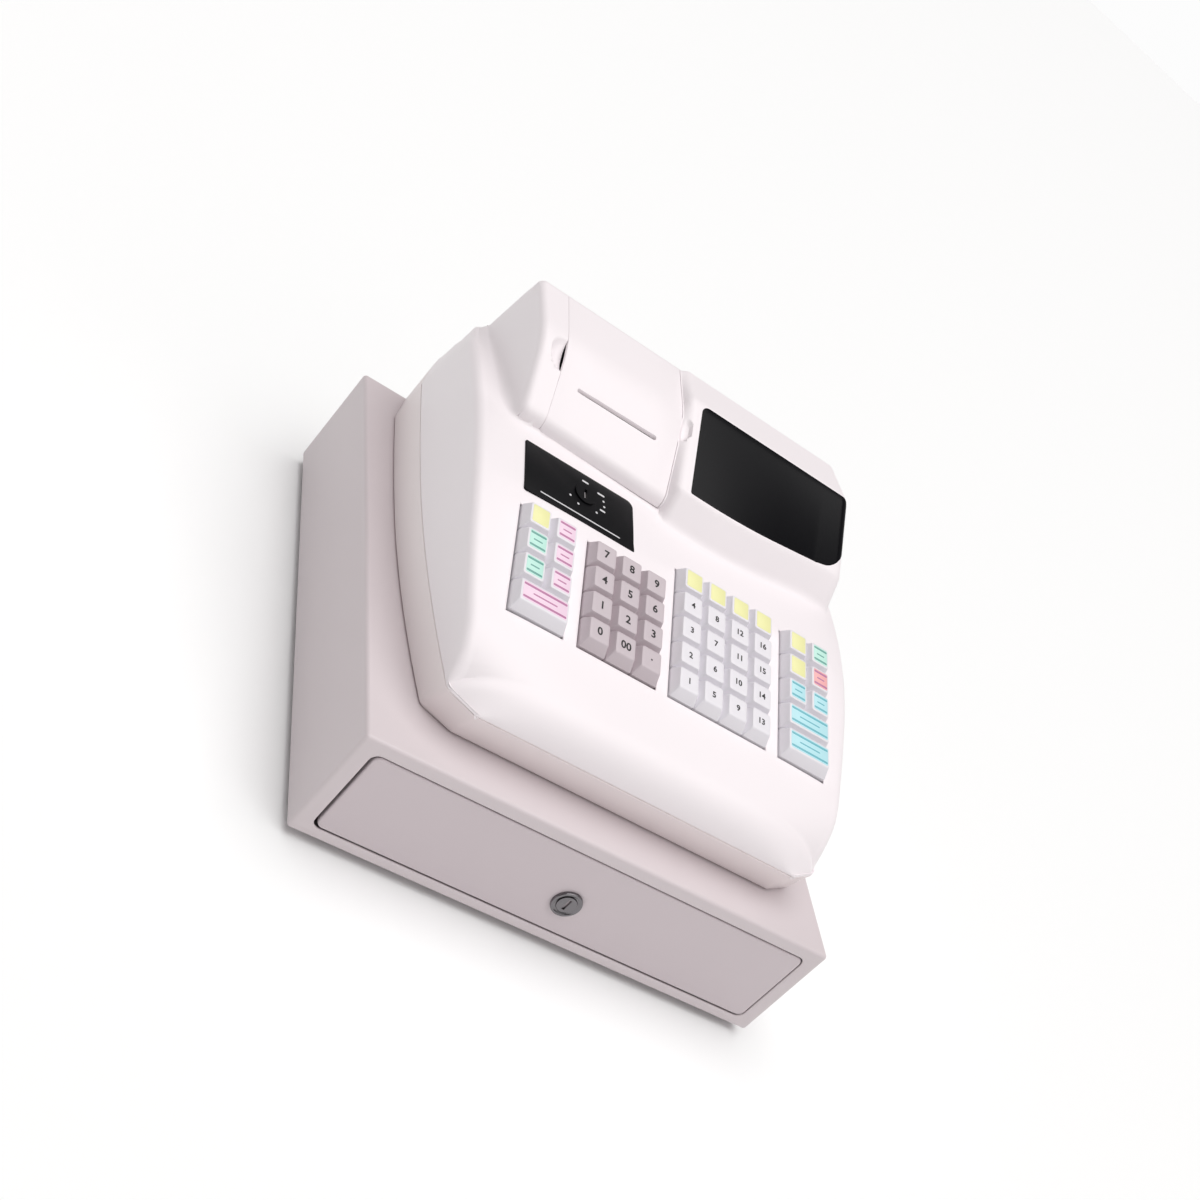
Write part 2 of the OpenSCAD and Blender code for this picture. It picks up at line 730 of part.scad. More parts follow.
module printer_cover() {
    axis = hinge_centre();
    color(case_white) {
        difference() {
            intersection() {
                difference() {
                    printer_hood(0);
                    printer_hood(wall);
                }
                box([seam_x[0] + seam_gap, seam_x[1] - seam_gap], [20, axis[0]], [150, 240]);
            }
            on_deck() box([-130, 10], [0, 200], [-60, 0.6]);
            on_cover() {
                box([slot_x - slot_w / 2 + 1.5, slot_x + slot_w / 2 - 1.5], [-1.5, 1.5], [-9, 9]);
                for (x = [-1, 1]) rod_z(slot_x + x * (slot_w / 2 - 1.5), 0, [-9, 9], 1.5);
            }
        }
        rod_x(axis[0], axis[1], [seam_x[0] + seam_gap, seam_x[1] - seam_gap], hinge_r);
    }
}

// Inside the console ---------------------------------------------------------------------------------
platen_y = 62;
platen_z = 186;
mech_x = [-98, -18];

module print_mechanism() {
    color(steel) difference() {
        union() {
            for (x = [mech_x[0], mech_x[1] - 1.5]) box([x, x + 1.5], [57, 84], [floor_case_z, 190]);
            box([mech_x[0], mech_x[1]], [57, 84], [150, 176]);
            box([mech_x[0], mech_x[1]], [72, 84], [176 - eps, 188]);
        }
        rod_x(platen_y, platen_z, [mech_x[0] - 1, mech_x[1] + 1], 2 + running);
    }
}

module platen_roller() {
    color(black) {
        rod_x(platen_y, platen_z, [mech_x[0] + 4, mech_x[1] - 4], platen_d / 2);
        rod_x(platen_y, platen_z, [mech_x[0] - 3, mech_x[1] + 3], 2);
    }
}

bin_x = [-94, -22];
bin_y = 117;
bin_z = 168;
bin_r = 29;
module bin_profile(r, top) {
    circle(r);
    translate([-r, 0]) square([2 * r, top]);
}
module paper_bin() {
    color(tray_grey) {
        difference() {
            translate([bin_x[0], bin_y, bin_z]) rotate([90, 0, 90])
                linear_extrude(bin_x[1] - bin_x[0]) bin_profile(bin_r + 2, 37);
            translate([bin_x[0] + 2, bin_y, bin_z]) rotate([90, 0, 90])
                linear_extrude(bin_x[1] - bin_x[0] - 4) bin_profile(bin_r, 38);
        }
        for (x = [-50, -34]) box([x, x + 3], [100, 134], [board_z + 6, bin_z - bin_r - 1]);
        box([-50, -31], [100, 134], [floor_case_z, board_z + 6 + eps]);
    }
}

module main_board() {
    color(board_green) {
        box(board_x, board_y, [board_z, board_z + 1.6]);
        box([20, 48], [0, 28], [board_z + 1.6 - eps, board_z + 4]);
        box([70, 100], [60, 75], [board_z + 1.6 - eps, board_z + 12]);
    }
}

module display_board() {
    color(board_green) {
        translate([0, 38.5, 196.5]) rotate([21.2, 0, 0]) {
            box([14, 120], [14, 66], [-16, -14]);
            box([20, 114], [22, 56], [-14 - eps, -6]);
        }
        for (x = [30, 100]) box([x, x + 4], [78, 90], [board_z + 1.6, 202]);
    }
}

module transformer() {
    color([0.5, 0.35, 0.2]) {
        box([-122, -66], [-14, 32], [floor_case_z, 130]);
        box([-112, -76], [-20, 38], [floor_case_z + 8, 122]);
    }
}

module power_inlet() {
    color(black) difference() {
        union() {
            box([inlet_x - 13.8, inlet_x + 13.8], [158, back_face + eps], [inlet_z - 10.3, inlet_z + 10.3]);
            box([inlet_x - 16, inlet_x + 16], [back_face, back_face + proud], [inlet_z - 12.5, inlet_z + 12.5]);
        }
        box([inlet_x - 12, inlet_x + 12], [168, back_face + 4], [inlet_z - 8, inlet_z + 8]);
    }
    color("silver") for (p = [[-7, -2], [0, 2], [7, -2]])
        box([inlet_x + p[0] - 1, inlet_x + p[0] + 1], [166, 179], [inlet_z + p[1] - 2, inlet_z + p[1] + 2]);
}

// Parts ----------------------------------------------------------------------------------------------
drawer_housing();
rubber_feet();
slide_rails();
drawer_solenoid();
lower_case();
upper_case();
mode_panel();
display_window();
display_board();
rear_window();
print_mechanism();
paper_bin();
main_board();
key_board();
transformer();
power_inlet();
case_screws();
drawer_pan();
drawer_front();
cash_tray();
drawer_lock();
latch_bolt();
for (i = [0:notes - 1]) bill_clip(i);
lock_plug();
mode_switch();
printer_cover();
platen_roller();
number_names = ["7", "8", "9", "4", "5", "6", "1", "2", "3", "0", "00", "point"];
for (i = [0:11]) number_key(i);
for (i = [0:5]) left_key(i);
color(key_pink) key_cap(left_group, 0, 0, 2);  // key_left_wide
for (i = [0:5]) right_key(i);
color(key_cyan) key_cap(right_group, 0, 1, 2);  // key_right_wide_1
color(key_cyan) key_cap(right_group, 0, 0, 2);  // key_right_wide_2
for (i = [0:3]) column_keys(i);
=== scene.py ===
"""Looks of an electronic cash register: a moulded console on a sheet-metal cash drawer.

Shapes are worked out in millimetres, in the frame of the CAD model: X to the operator's right,
Y to the back, Z up. Meshes are made in metres.
"""

import logging
import math
from collections.abc import Sequence
from dataclasses import dataclass, field
from enum import Enum

import bpy
import numpy as np
from mathutils import Matrix

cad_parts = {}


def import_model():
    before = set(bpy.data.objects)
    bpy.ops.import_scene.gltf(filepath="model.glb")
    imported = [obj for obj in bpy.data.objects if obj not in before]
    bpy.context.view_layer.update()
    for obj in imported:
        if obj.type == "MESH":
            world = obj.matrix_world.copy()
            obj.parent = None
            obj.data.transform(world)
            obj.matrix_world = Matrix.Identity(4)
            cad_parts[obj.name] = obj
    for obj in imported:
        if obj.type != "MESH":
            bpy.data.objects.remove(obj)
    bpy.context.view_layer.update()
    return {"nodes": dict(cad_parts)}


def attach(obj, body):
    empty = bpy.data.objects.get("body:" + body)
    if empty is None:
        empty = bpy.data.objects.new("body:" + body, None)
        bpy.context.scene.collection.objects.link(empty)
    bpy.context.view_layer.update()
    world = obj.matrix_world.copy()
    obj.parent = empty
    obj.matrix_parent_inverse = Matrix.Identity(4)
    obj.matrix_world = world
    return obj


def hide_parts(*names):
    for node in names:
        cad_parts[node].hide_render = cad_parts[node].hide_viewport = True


logging.basicConfig(level=logging.INFO, format="%(message)s")
log = logging.getLogger("register")

MM = 0.001
TINY = 1e-9
SHARP = 38.0
Array = np.ndarray
Piece = bpy.types.Object
Point = tuple[float, float]
Triple = tuple[float, float, float]
Box = tuple[float, float, float, float]


# Finishes --------------------------------------------------------------
def add_node(
    tree: bpy.types.NodeTree, kind: str, values: dict[str, object] | None = None
) -> bpy.types.Node:
    """Adds a shader node.

    Args:
        tree: The tree it goes into.
        kind: The node's type, without the word ShaderNode.
        values: Values of its inputs, by the inputs' names.

    Returns:
        The node.
    """
    node = tree.nodes.new(f"ShaderNode{kind}")
    for name, value in (values or {}).items():
        node.inputs[name].default_value = value
    return node


@dataclass(frozen=True)
class Finish:
    """One procedural surface finish.

    The pattern lives in object space: fine noise moves the roughness and the surface height, and
    broad noise shades the colour a little.
    """

    slot: str
    colour: Triple
    roughness: float
    metallic: float = 0.0
    bump: float = 0.02
    grain: float = 1400.0
    mottle: float = 0.02
    stretch: Triple = (1.0, 1.0, 1.0)
    specular: float = 0.5
    relief_depth: float = 0.0002
    roughness_swing: float = 0.05
    broad_scale: float = 9.0

    def linear(self) -> tuple[float, float, float, float]:
        """The colour as linear light, by the sRGB curve.

        Returns:
            Red, green, blue, and alpha 1.
        """
        red, green, blue = (
            value / 12.92 if value <= 0.04045 else ((value + 0.055) / 1.055) ** 2.4
            for value in self.colour
        )
        return red, green, blue, 1.0

    def build(self) -> bpy.types.Material:
        """Makes the node material, once for each finish.

        Returns:
            The material, named after the slot.
        """
        name = f"finish_{self.slot}"
        if name in bpy.data.materials:
            return bpy.data.materials[name]
        material = bpy.data.materials.new(name)
        material.use_nodes = True
        tree = material.node_tree
        link = tree.links.new
        shader = tree.nodes["Principled BSDF"]
        for entry, value in {
            "Base Color": self.linear(), "Metallic": self.metallic,
            "Roughness": self.roughness, "Specular IOR Level": self.specular,
        }.items():
            shader.inputs[entry].default_value = value
        place = add_node(tree, "TexCoord")
        mapping = add_node(tree, "Mapping", {"Scale": self.stretch})
        link(place.outputs["Object"], mapping.inputs["Vector"])
        fine = add_node(tree, "TexNoise", {"Scale": self.grain, "Detail": 2.0})
        link(mapping.outputs["Vector"], fine.inputs["Vector"])
        least = max(self.roughness - self.roughness_swing, 0.02)
        most = min(self.roughness + self.roughness_swing, 1.0)
        spread = add_node(tree, "MapRange", {"To Min": least, "To Max": most})
        link(fine.outputs["Fac"], spread.inputs["Value"])
        link(spread.outputs["Result"], shader.inputs["Roughness"])
        relief = add_node(tree, "Bump", {"Strength": self.bump, "Distance": self.relief_depth})
        link(fine.outputs["Fac"], relief.inputs["Height"])
        link(relief.outputs["Normal"], shader.inputs["Normal"])
        broad = add_node(tree, "TexNoise", {"Scale": self.broad_scale})
        link(place.outputs["Object"], broad.inputs["Vector"])
        tones = {"To Min": 1.0 - self.mottle, "To Max": 1.0 + self.mottle * 0.4}
        shade = add_node(tree, "MapRange", tones)
        link(broad.outputs["Fac"], shade.inputs["Value"])
        tint = add_node(tree, "HueSaturation", {"Color": self.linear()})
        link(shade.outputs["Result"], tint.inputs["Value"])
        link(tint.outputs["Color"], shader.inputs["Base Color"])
        return material


class Look(Enum):
    """The finishes: one for each material slot of the record, then bars, ink and marks."""

    # The housing's paint is lighter than the drawer's, though both are the same paint: the lift is
    # painted light that makes up for the shadow the console casts on the housing's top.
    HOUSING = Finish("housing_paint", (0.85, 0.81, 0.82), 0.42, bump=0.10, grain=2600)
    DRAWER = Finish("drawer_paint", (0.82, 0.775, 0.79), 0.42, bump=0.10, grain=2600)
    CASE_UPPER = Finish("case_upper", (0.975, 0.95, 0.96), 0.40, bump=0.05, grain=1800)
    CASE_LOWER = Finish("case_lower", (0.965, 0.93, 0.93), 0.42, bump=0.06, grain=1800)
    PANEL = Finish("panel_black", (0.06, 0.06, 0.07), 0.36, bump=0.01, mottle=0.0, specular=0.1)
    WINDOW = Finish("window_black", (0.03, 0.03, 0.045), 0.2, bump=0.0, mottle=0.0, specular=0.1)
    RUBBER = Finish("rubber_black", (0.10, 0.10, 0.10), 0.85, bump=0.2)
    ZINC = Finish("zinc_steel", (0.72, 0.72, 0.73), 0.34, 1.0, bump=0.05, stretch=(1.0, 0.05, 1.0))
    CHROME = Finish("chrome_trim", (0.47, 0.46, 0.47), 0.16, 1.0, bump=0.0, mottle=0.0)
    TRAY = Finish("tray_plastic", (0.20, 0.20, 0.215), 0.5, bump=0.12)
    BOARD = Finish("board_green", (0.07, 0.30, 0.15), 0.45)
    CORE = Finish("core_steel", (0.30, 0.29, 0.30), 0.5, 0.6, stretch=(1.0, 12.0, 1.0))
    CLIP = Finish("clip_black", (0.10, 0.10, 0.11), 0.45)
    KEY_MAUVE = Finish("key_mauve", (0.80, 0.755, 0.775), 0.40, bump=0.05)
    KEY_WHITE = Finish("key_white", (0.93, 0.92, 0.94), 0.34, bump=0.03)
    KEY_YELLOW = Finish("key_yellow", (0.96, 0.955, 0.70), 0.40, bump=0.03)
    KEY_GREEN = Finish("key_green", (0.78, 0.95, 0.90), 0.40, bump=0.03)
    KEY_PINK = Finish("key_pink", (0.97, 0.86, 0.93), 0.40, bump=0.03)
    KEY_RED = Finish("key_red", (0.97, 0.72, 0.72), 0.40, bump=0.03)
    KEY_CYAN = Finish("key_cyan", (0.75, 0.93, 0.96), 0.40, bump=0.03)
    BAR_GREEN = Finish("bar_green", (0.45, 0.68, 0.64), 0.45, bump=0.0)
    BAR_PINK = Finish("bar_pink", (0.76, 0.50, 0.66), 0.45, bump=0.0)
    BAR_CYAN = Finish("bar_cyan", (0.45, 0.75, 0.80), 0.45, bump=0.0)
    INK = Finish("ink", (0.10, 0.09, 0.10), 0.5, bump=0.0, mottle=0.0)
    MARK = Finish("mark", (0.85, 0.85, 0.86), 0.5, bump=0.0, mottle=0.0)


# Mesh tools ------------------------------------------------------------
def grid_faces(rows: int, columns: int) -> Array:
    """Quads of a grid of points stored row by row, each row closed on itself.

    Args:
        rows: Number of rows.
        columns: Number of points in a row.

    Returns:
        One row of four indices for each quad.
    """
    first = np.arange(rows - 1)[:, None] * columns
    here = np.arange(columns)[None, :]
    after = (here + 1) % columns
    corners = [first + here, first + after, first + columns + after, first + columns + here]
    return np.stack(corners, axis=-1).reshape(-1, 4)


def volume(points: Array, faces: Sequence[Sequence[int]]) -> float:
    """Six times the volume inside a closed mesh: the sum of its triangles' triple products.

    Args:
        points: Its vertices.
        faces: Its faces.

    Returns:
        The sum, positive where the faces point outward.
    """
    fans = [(face[0], face[k], face[k + 1]) for face in faces for k in range(1, len(face) - 1)]
    shifted = points - points.mean(axis=0)
    a, b, c = (shifted[corner] for corner in np.array(fans).T)
    return float(np.einsum("ij,ij->", a, np.cross(b, c)))


class MeshBuilder:
    """Collects closed bodies into one mesh, each with its finish."""

    def __init__(self, name: str) -> None:
        """Starts an empty mesh of that name."""
        self.name = name
        self.points: list[Array] = []
        self.faces: list[Sequence[int]] = []
        self.finishes: list[int] = []
        self.looks: list[Look] = []
        self.count = 0

    def add(self, points: Array, faces: Sequence[Sequence[int]], look: Look) -> None:
        """Adds a closed body, turned so that its faces point outward.

        Args:
            points: Its vertices in millimetres.
            faces: Its faces, as indices into the points.
            look: Its finish.
        """
        if look not in self.looks:
            self.looks.append(look)
        way = -1 if volume(points, faces) < 0 else 1
        self.faces += [[index + self.count for index in face[::way]] for face in faces]
        self.finishes.extend([self.looks.index(look)] * len(faces))
        self.points.append(points)
        self.count += len(points)

    def loft(self, rings: Sequence[Array] | Array, look: Look, closed: bool = False) -> None:
        """Adds a body through closed rings of equally many points.

        Args:
            rings: The rings, each an array of points.
            look: The finish.
            closed: Whether the last ring joins the first; otherwise both ends are capped.
        """
        rings = np.array(rings)
        count, size = rings.shape[:2]
        if closed:
            faces = (grid_faces(count + 1, size) % (count * size)).tolist()
        else:
            faces = grid_faces(count, size).tolist()
            faces.append(list(range(size))[::-1])
            faces.append(list(range((count - 1) * size, count * size)))
        self.add(rings.reshape(-1, 3), faces, look)

    def build(self, sharp: float = SHARP) -> Piece:
        """Makes the object.

        Args:
            sharp: Angle in degrees above which an edge stays sharp.

        Returns:
            The object, at the origin.
        """
        mesh = bpy.data.meshes.new(self.name)
        mesh.from_pydata((np.concatenate(self.points) * MM).tolist(), [], self.faces)
        for look in self.looks:
            mesh.materials.append(look.value.build())
        mesh.polygons.foreach_set("material_index", np.array(self.finishes, np.int32))
        mesh.polygons.foreach_set("use_smooth", np.ones(len(self.faces), bool))
        mesh.validate()
        mesh.update()
        mesh.set_sharp_from_angle(angle=math.radians(sharp))
        thing = bpy.data.objects.new(self.name, mesh)
        bpy.context.scene.collection.objects.link(thing)
        return thing


def fitted(thing: Piece, body: str, node: str) -> Piece:
    """Puts a piece on its body in place of a CAD node.

    Args:
        thing: The piece.
        body: The body that it rides on.
        node: The CAD node that it stands for.

    Returns:
        The piece.
    """
    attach(thing, body)
    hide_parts(node)
    return thing


def arc_drop(reach: Array | float, radius: Array | float) -> Array:
    """How far an arc has dropped below its crown, that far along from the crown."""
    return radius - np.sqrt(np.maximum(radius**2 - reach**2, 0.0))


def edge_drop(distance: Array, radius: Array | float) -> Array:
    """How far a quarter-round edge lies below its crown, that far in from the edge."""
    return arc_drop(np.clip(radius - distance, 0.0, radius), radius)


def ramp(value: Array | float, start: float, span: float) -> Array:
    """Straight rise from 0 at the start to 1 a span further on, and level beyond both."""
    return np.clip((value - start) / span, 0.0, 1.0)


def smooth_min(a: Array, b: Array, blend: Array | float) -> Array:
    """The lower of two heights, rounded where they are within the blend of each other."""
    near = np.maximum(blend - np.abs(a - b), 0.0)
    return np.minimum(a, b) - near**2 / (4 * blend)


def smooth_max(a: Array, b: Array, blend: Array | float) -> Array:
    """The higher of two heights, filleted where they are within the blend of each other."""
    return -smooth_min(-a, -b, blend)


def unit(vectors: Array) -> Array:
    """The vectors at length 1, along the last axis."""
    return vectors / np.maximum(np.linalg.norm(vectors, axis=-1, keepdims=True), TINY)


def grid_normals(grid: Array) -> Array:
    """Unit normals of a grid: cross products of its differences along the rows and columns.

    Args:
        grid: Rows, columns and coordinates of the grid's points.

    Returns:
        The normals, straight up where the differences vanish.
    """
    normal = np.cross(np.gradient(grid, axis=1), np.gradient(grid, axis=0))
    there = np.linalg.norm(normal, axis=-1, keepdims=True) > TINY
    return np.where(there, unit(normal), [0.0, 0.0, 1.0])


def clear_of(values: Array, fixed: Array, distance: float) -> Array:
    """The values that keep a distance from every fixed one, with the fixed ones, in order."""
    away = np.abs(values[:, None] - fixed[None, :]).min(axis=1)
    return np.sort(np.concatenate([values[away > distance], fixed]))


def spaced(stops: Sequence[Point]) -> Array:
    """Coordinates through all stops.

    Args:
        stops: Places, each with the longest step up to the next place.

    Returns:
        The coordinates: equal steps between two stops, as long as they may be.
    """
    values = [
        np.linspace(a, b, max(int(math.ceil((b - a) / step)), 1) + 1)[:-1]
        for (a, step), (b, _) in zip(stops[:-1], stops[1:])
    ]
    return np.concatenate(values + [np.array([stops[-1][0]])])


def rounded_path(vertices: Sequence[Sequence[float]], steps: int = 12) -> Array:
    """Polyline whose corners are replaced by arcs that touch both sides.

    Args:
        vertices: Points with the radius at each, zero for a sharp one.
        steps: Steps in each arc.

    Returns:
        The points along the path.
    """
    points: list[Array] = []
    for index, (u, v, radius) in enumerate(vertices):
        here = np.array([u, v], float)
        if radius <= 0:
            points.append(here)
            continue
        before = np.array(vertices[index - 1][:2], float) - here
        after = np.array(vertices[index + 1][:2], float) - here
        before /= np.linalg.norm(before)
        after /= np.linalg.norm(after)
        half = math.acos(float(np.clip(before @ after, -1, 1))) / 2
        middle = before + after
        centre = here + middle / np.linalg.norm(middle) * radius / math.sin(half)
        start = here + before * radius / math.tan(half) - centre
        sense = math.copysign(1.0, -(before[0] * after[1] - before[1] * after[0]))
        angle = math.atan2(start[1], start[0])
        turns = angle + sense * (math.pi - 2 * half) * np.arange(steps + 1) / steps
        points.extend(centre + radius * np.column_stack([np.cos(turns), np.sin(turns)]))
    return np.array(points)


def inset_path(vertices: Sequence[Sequence[float]], depth: float) -> list[Triple]:
    """The path moved inward, to the right of its direction, with its radii to match.

    Args:
        vertices: Points with the radius at each.
        depth: How far it moves.

    Returns:
        The moved points with their radii.
    """
    least_radius = 0.8
    corners = np.array([vertex[:2] for vertex in vertices], float)
    ways = unit(np.diff(corners, axis=0))
    inward = np.column_stack([ways[:, 1], -ways[:, 0]])
    before = np.concatenate([inward[:1], inward])
    after = np.concatenate([inward, inward[-1:]])
    scale = 1 + (before * after).sum(axis=1, keepdims=True)
    moved = corners + (before + after) / scale * depth
    radii = [max(radius - depth, least_radius) if radius > 0 else 0.0 for *_, radius in vertices]
    return [(u, v, radius) for (u, v), radius in zip(moved.tolist(), radii)]


def rounded_box(sides: Box, radii: Sequence[float], steps: int) -> Array:
    """Counter-clockwise outline of a rectangle with round corners.

    Args:
        sides: Its left, right, lower and upper side.
        radii: The radii, from the lower right corner on.
        steps: Steps in each arc.

    Returns:
        The points.
    """
    left, right, low, high = sides
    corners = []
    for turn, radius in enumerate(radii):
        angle = np.radians(np.linspace(-90, 0, steps + 1) + 90 * turn)
        middle_x = right - radius if turn in (0, 1) else left + radius
        middle_y = high - radius if turn in (1, 2) else low + radius
        arc = radius * np.column_stack([np.cos(angle), np.sin(angle)])
        corners.append(arc + [middle_x, middle_y])
    return np.concatenate(corners)


def rounded_rectangle(width: float, height: float, radius: float, steps: int = 5) -> Array:
    """Outline of a rectangle round the origin, with one radius, less where a side is short."""
    radius = max(min(radius, width / 2 - 0.01, height / 2 - 0.01), 0.01)
    return rounded_box((-width / 2, width / 2, -height / 2, height / 2), [radius] * 4, steps)


@dataclass(frozen=True)
class Slope:
    """A plane that rises to the back, with its own coordinates: x, up the slope, height."""

    origin: Point
    tilt: float

    def frame(self, points: Array) -> Array:
        """Takes points from the slope's coordinates into the frame by one turn about x.

        Args:
            points: Points as x, distance up the slope, and height above it.

        Returns:
            The points in the frame.
        """
        cosine, sine = math.cos(math.radians(self.tilt)), math.sin(math.radians(self.tilt))
        x, up, high = points[..., 0], points[..., 1], points[..., 2]
        y = self.origin[0] + up * cosine - high * sine
        z = self.origin[1] + up * sine + high * cosine
        return np.stack([x, y, z], axis=-1)

    def height(self, y: Array | float) -> Array | float:
        """Height of the plane over a place."""
        return self.origin[1] + (y - self.origin[0]) * math.tan(math.radians(self.tilt))

    def ring(self, shape: Array, height: float) -> Array:
        """A flat outline lifted to a height above the slope, in the frame."""
        return self.frame(np.column_stack([shape, np.full(len(shape), height)]))


def thickened(grid: Array, keep: Array, depth: float) -> tuple[Array, list[list[int]]]:
    """Gives a sheet a thickness, and closes it along every edge of the kept cells.

    The far side is the sheet moved against its own normals.

    Args:
        grid: Rows, columns and coordinates of the sheet's points.
        keep: Which cells are there.
        depth: The thickness.

    Returns:
        Points and faces.
    """
    rows, columns = grid.shape[:2]
    total = rows * columns
    far_side = grid - grid_normals(grid) * depth
    points = np.concatenate([grid.reshape(-1, 3), far_side.reshape(-1, 3)])
    index = np.arange(total).reshape(rows, columns)
    corners = [index[:-1, :-1], index[:-1, 1:], index[1:, 1:], index[1:, :-1]]
    near = np.stack(corners, -1)[keep]
    quads = [near, near[:, [0, 3, 2, 1]] + total]
    padded = np.pad(keep, 1)
    for side, down, across in ((0, -1, 0), (2, 1, 0), (3, 0, -1), (1, 0, 1)):
        beside = np.roll(padded, (-down, -across), axis=(0, 1))[1:-1, 1:-1]
        edge = keep & ~beside
        start, end = corners[side][edge], corners[(side + 1) % 4][edge]
        quads.append(np.stack([end, start, start + total, end + total], -1))
    faces = np.concatenate(quads)
    used = np.unique(faces)
    renumber = np.zeros(len(points), int)
    renumber[used] = np.arange(len(used))
    return points[used], renumber[faces].tolist()


def cut(thing: Piece, cutter: Piece) -> None:
    """Takes the cutter's volume out of an object's mesh, and removes the cutter.

    Args:
        thing: The object.
        cutter: The cutter.
    """
    modifier = thing.modifiers.new("cut", "BOOLEAN")
    modifier.operation = "DIFFERENCE"
    modifier.solver = "EXACT"
    modifier.object = cutter
    bpy.context.view_layer.update()
    graph = bpy.context.evaluated_depsgraph_get()
    mesh = bpy.data.meshes.new_from_object(thing.evaluated_get(graph))
    thing.modifiers.clear()
    old = thing.data
    thing.data = mesh
    mesh.name = thing.name
    bpy.data.meshes.remove(old)
    bpy.data.objects.remove(cutter)
    mesh.set_sharp_from_angle(angle=math.radians(SHARP))


def glyph(text: str, size: float) -> tuple[Array, list[list[int]]]:
    """A plain number as a thin closed body, centred on the origin.

    Args:
        text: The digits.
        size: Height of a line in millimetres.

    Returns:
        Points, with x along the text, y up it and z its thickness, and faces.
    """
    curve = bpy.data.curves.new("glyph", "FONT")
    curve.body = text
    curve.size = size
    curve.extrude = 0.04
    curve.offset = size * 0.022
    curve.resolution_u = 3
    thing = bpy.data.objects.new("glyph", curve)
    bpy.context.scene.collection.objects.link(thing)
    graph = bpy.context.evaluated_depsgraph_get()
    mesh = bpy.data.meshes.new_from_object(thing.evaluated_get(graph))
    points = np.zeros(len(mesh.vertices) * 3)
    mesh.vertices.foreach_get("co", points)
    points, same = np.unique(np.round(points.reshape(-1, 3), 4), axis=0, return_inverse=True)
    same = same.reshape(-1)
    merged = [[int(same[index]) for index in face.vertices] for face in mesh.polygons]
    merged = [face for face in merged if len(set(face)) == len(face)]
    bpy.data.objects.remove(thing)
    bpy.data.curves.remove(curve)
    bpy.data.meshes.remove(mesh)
    return points - (points.min(axis=0) + points.max(axis=0)) / 2, merged


# The console's form ----------------------------------------------------
KEYBOARD = Slope((-60.4, 157.0), 16.34)


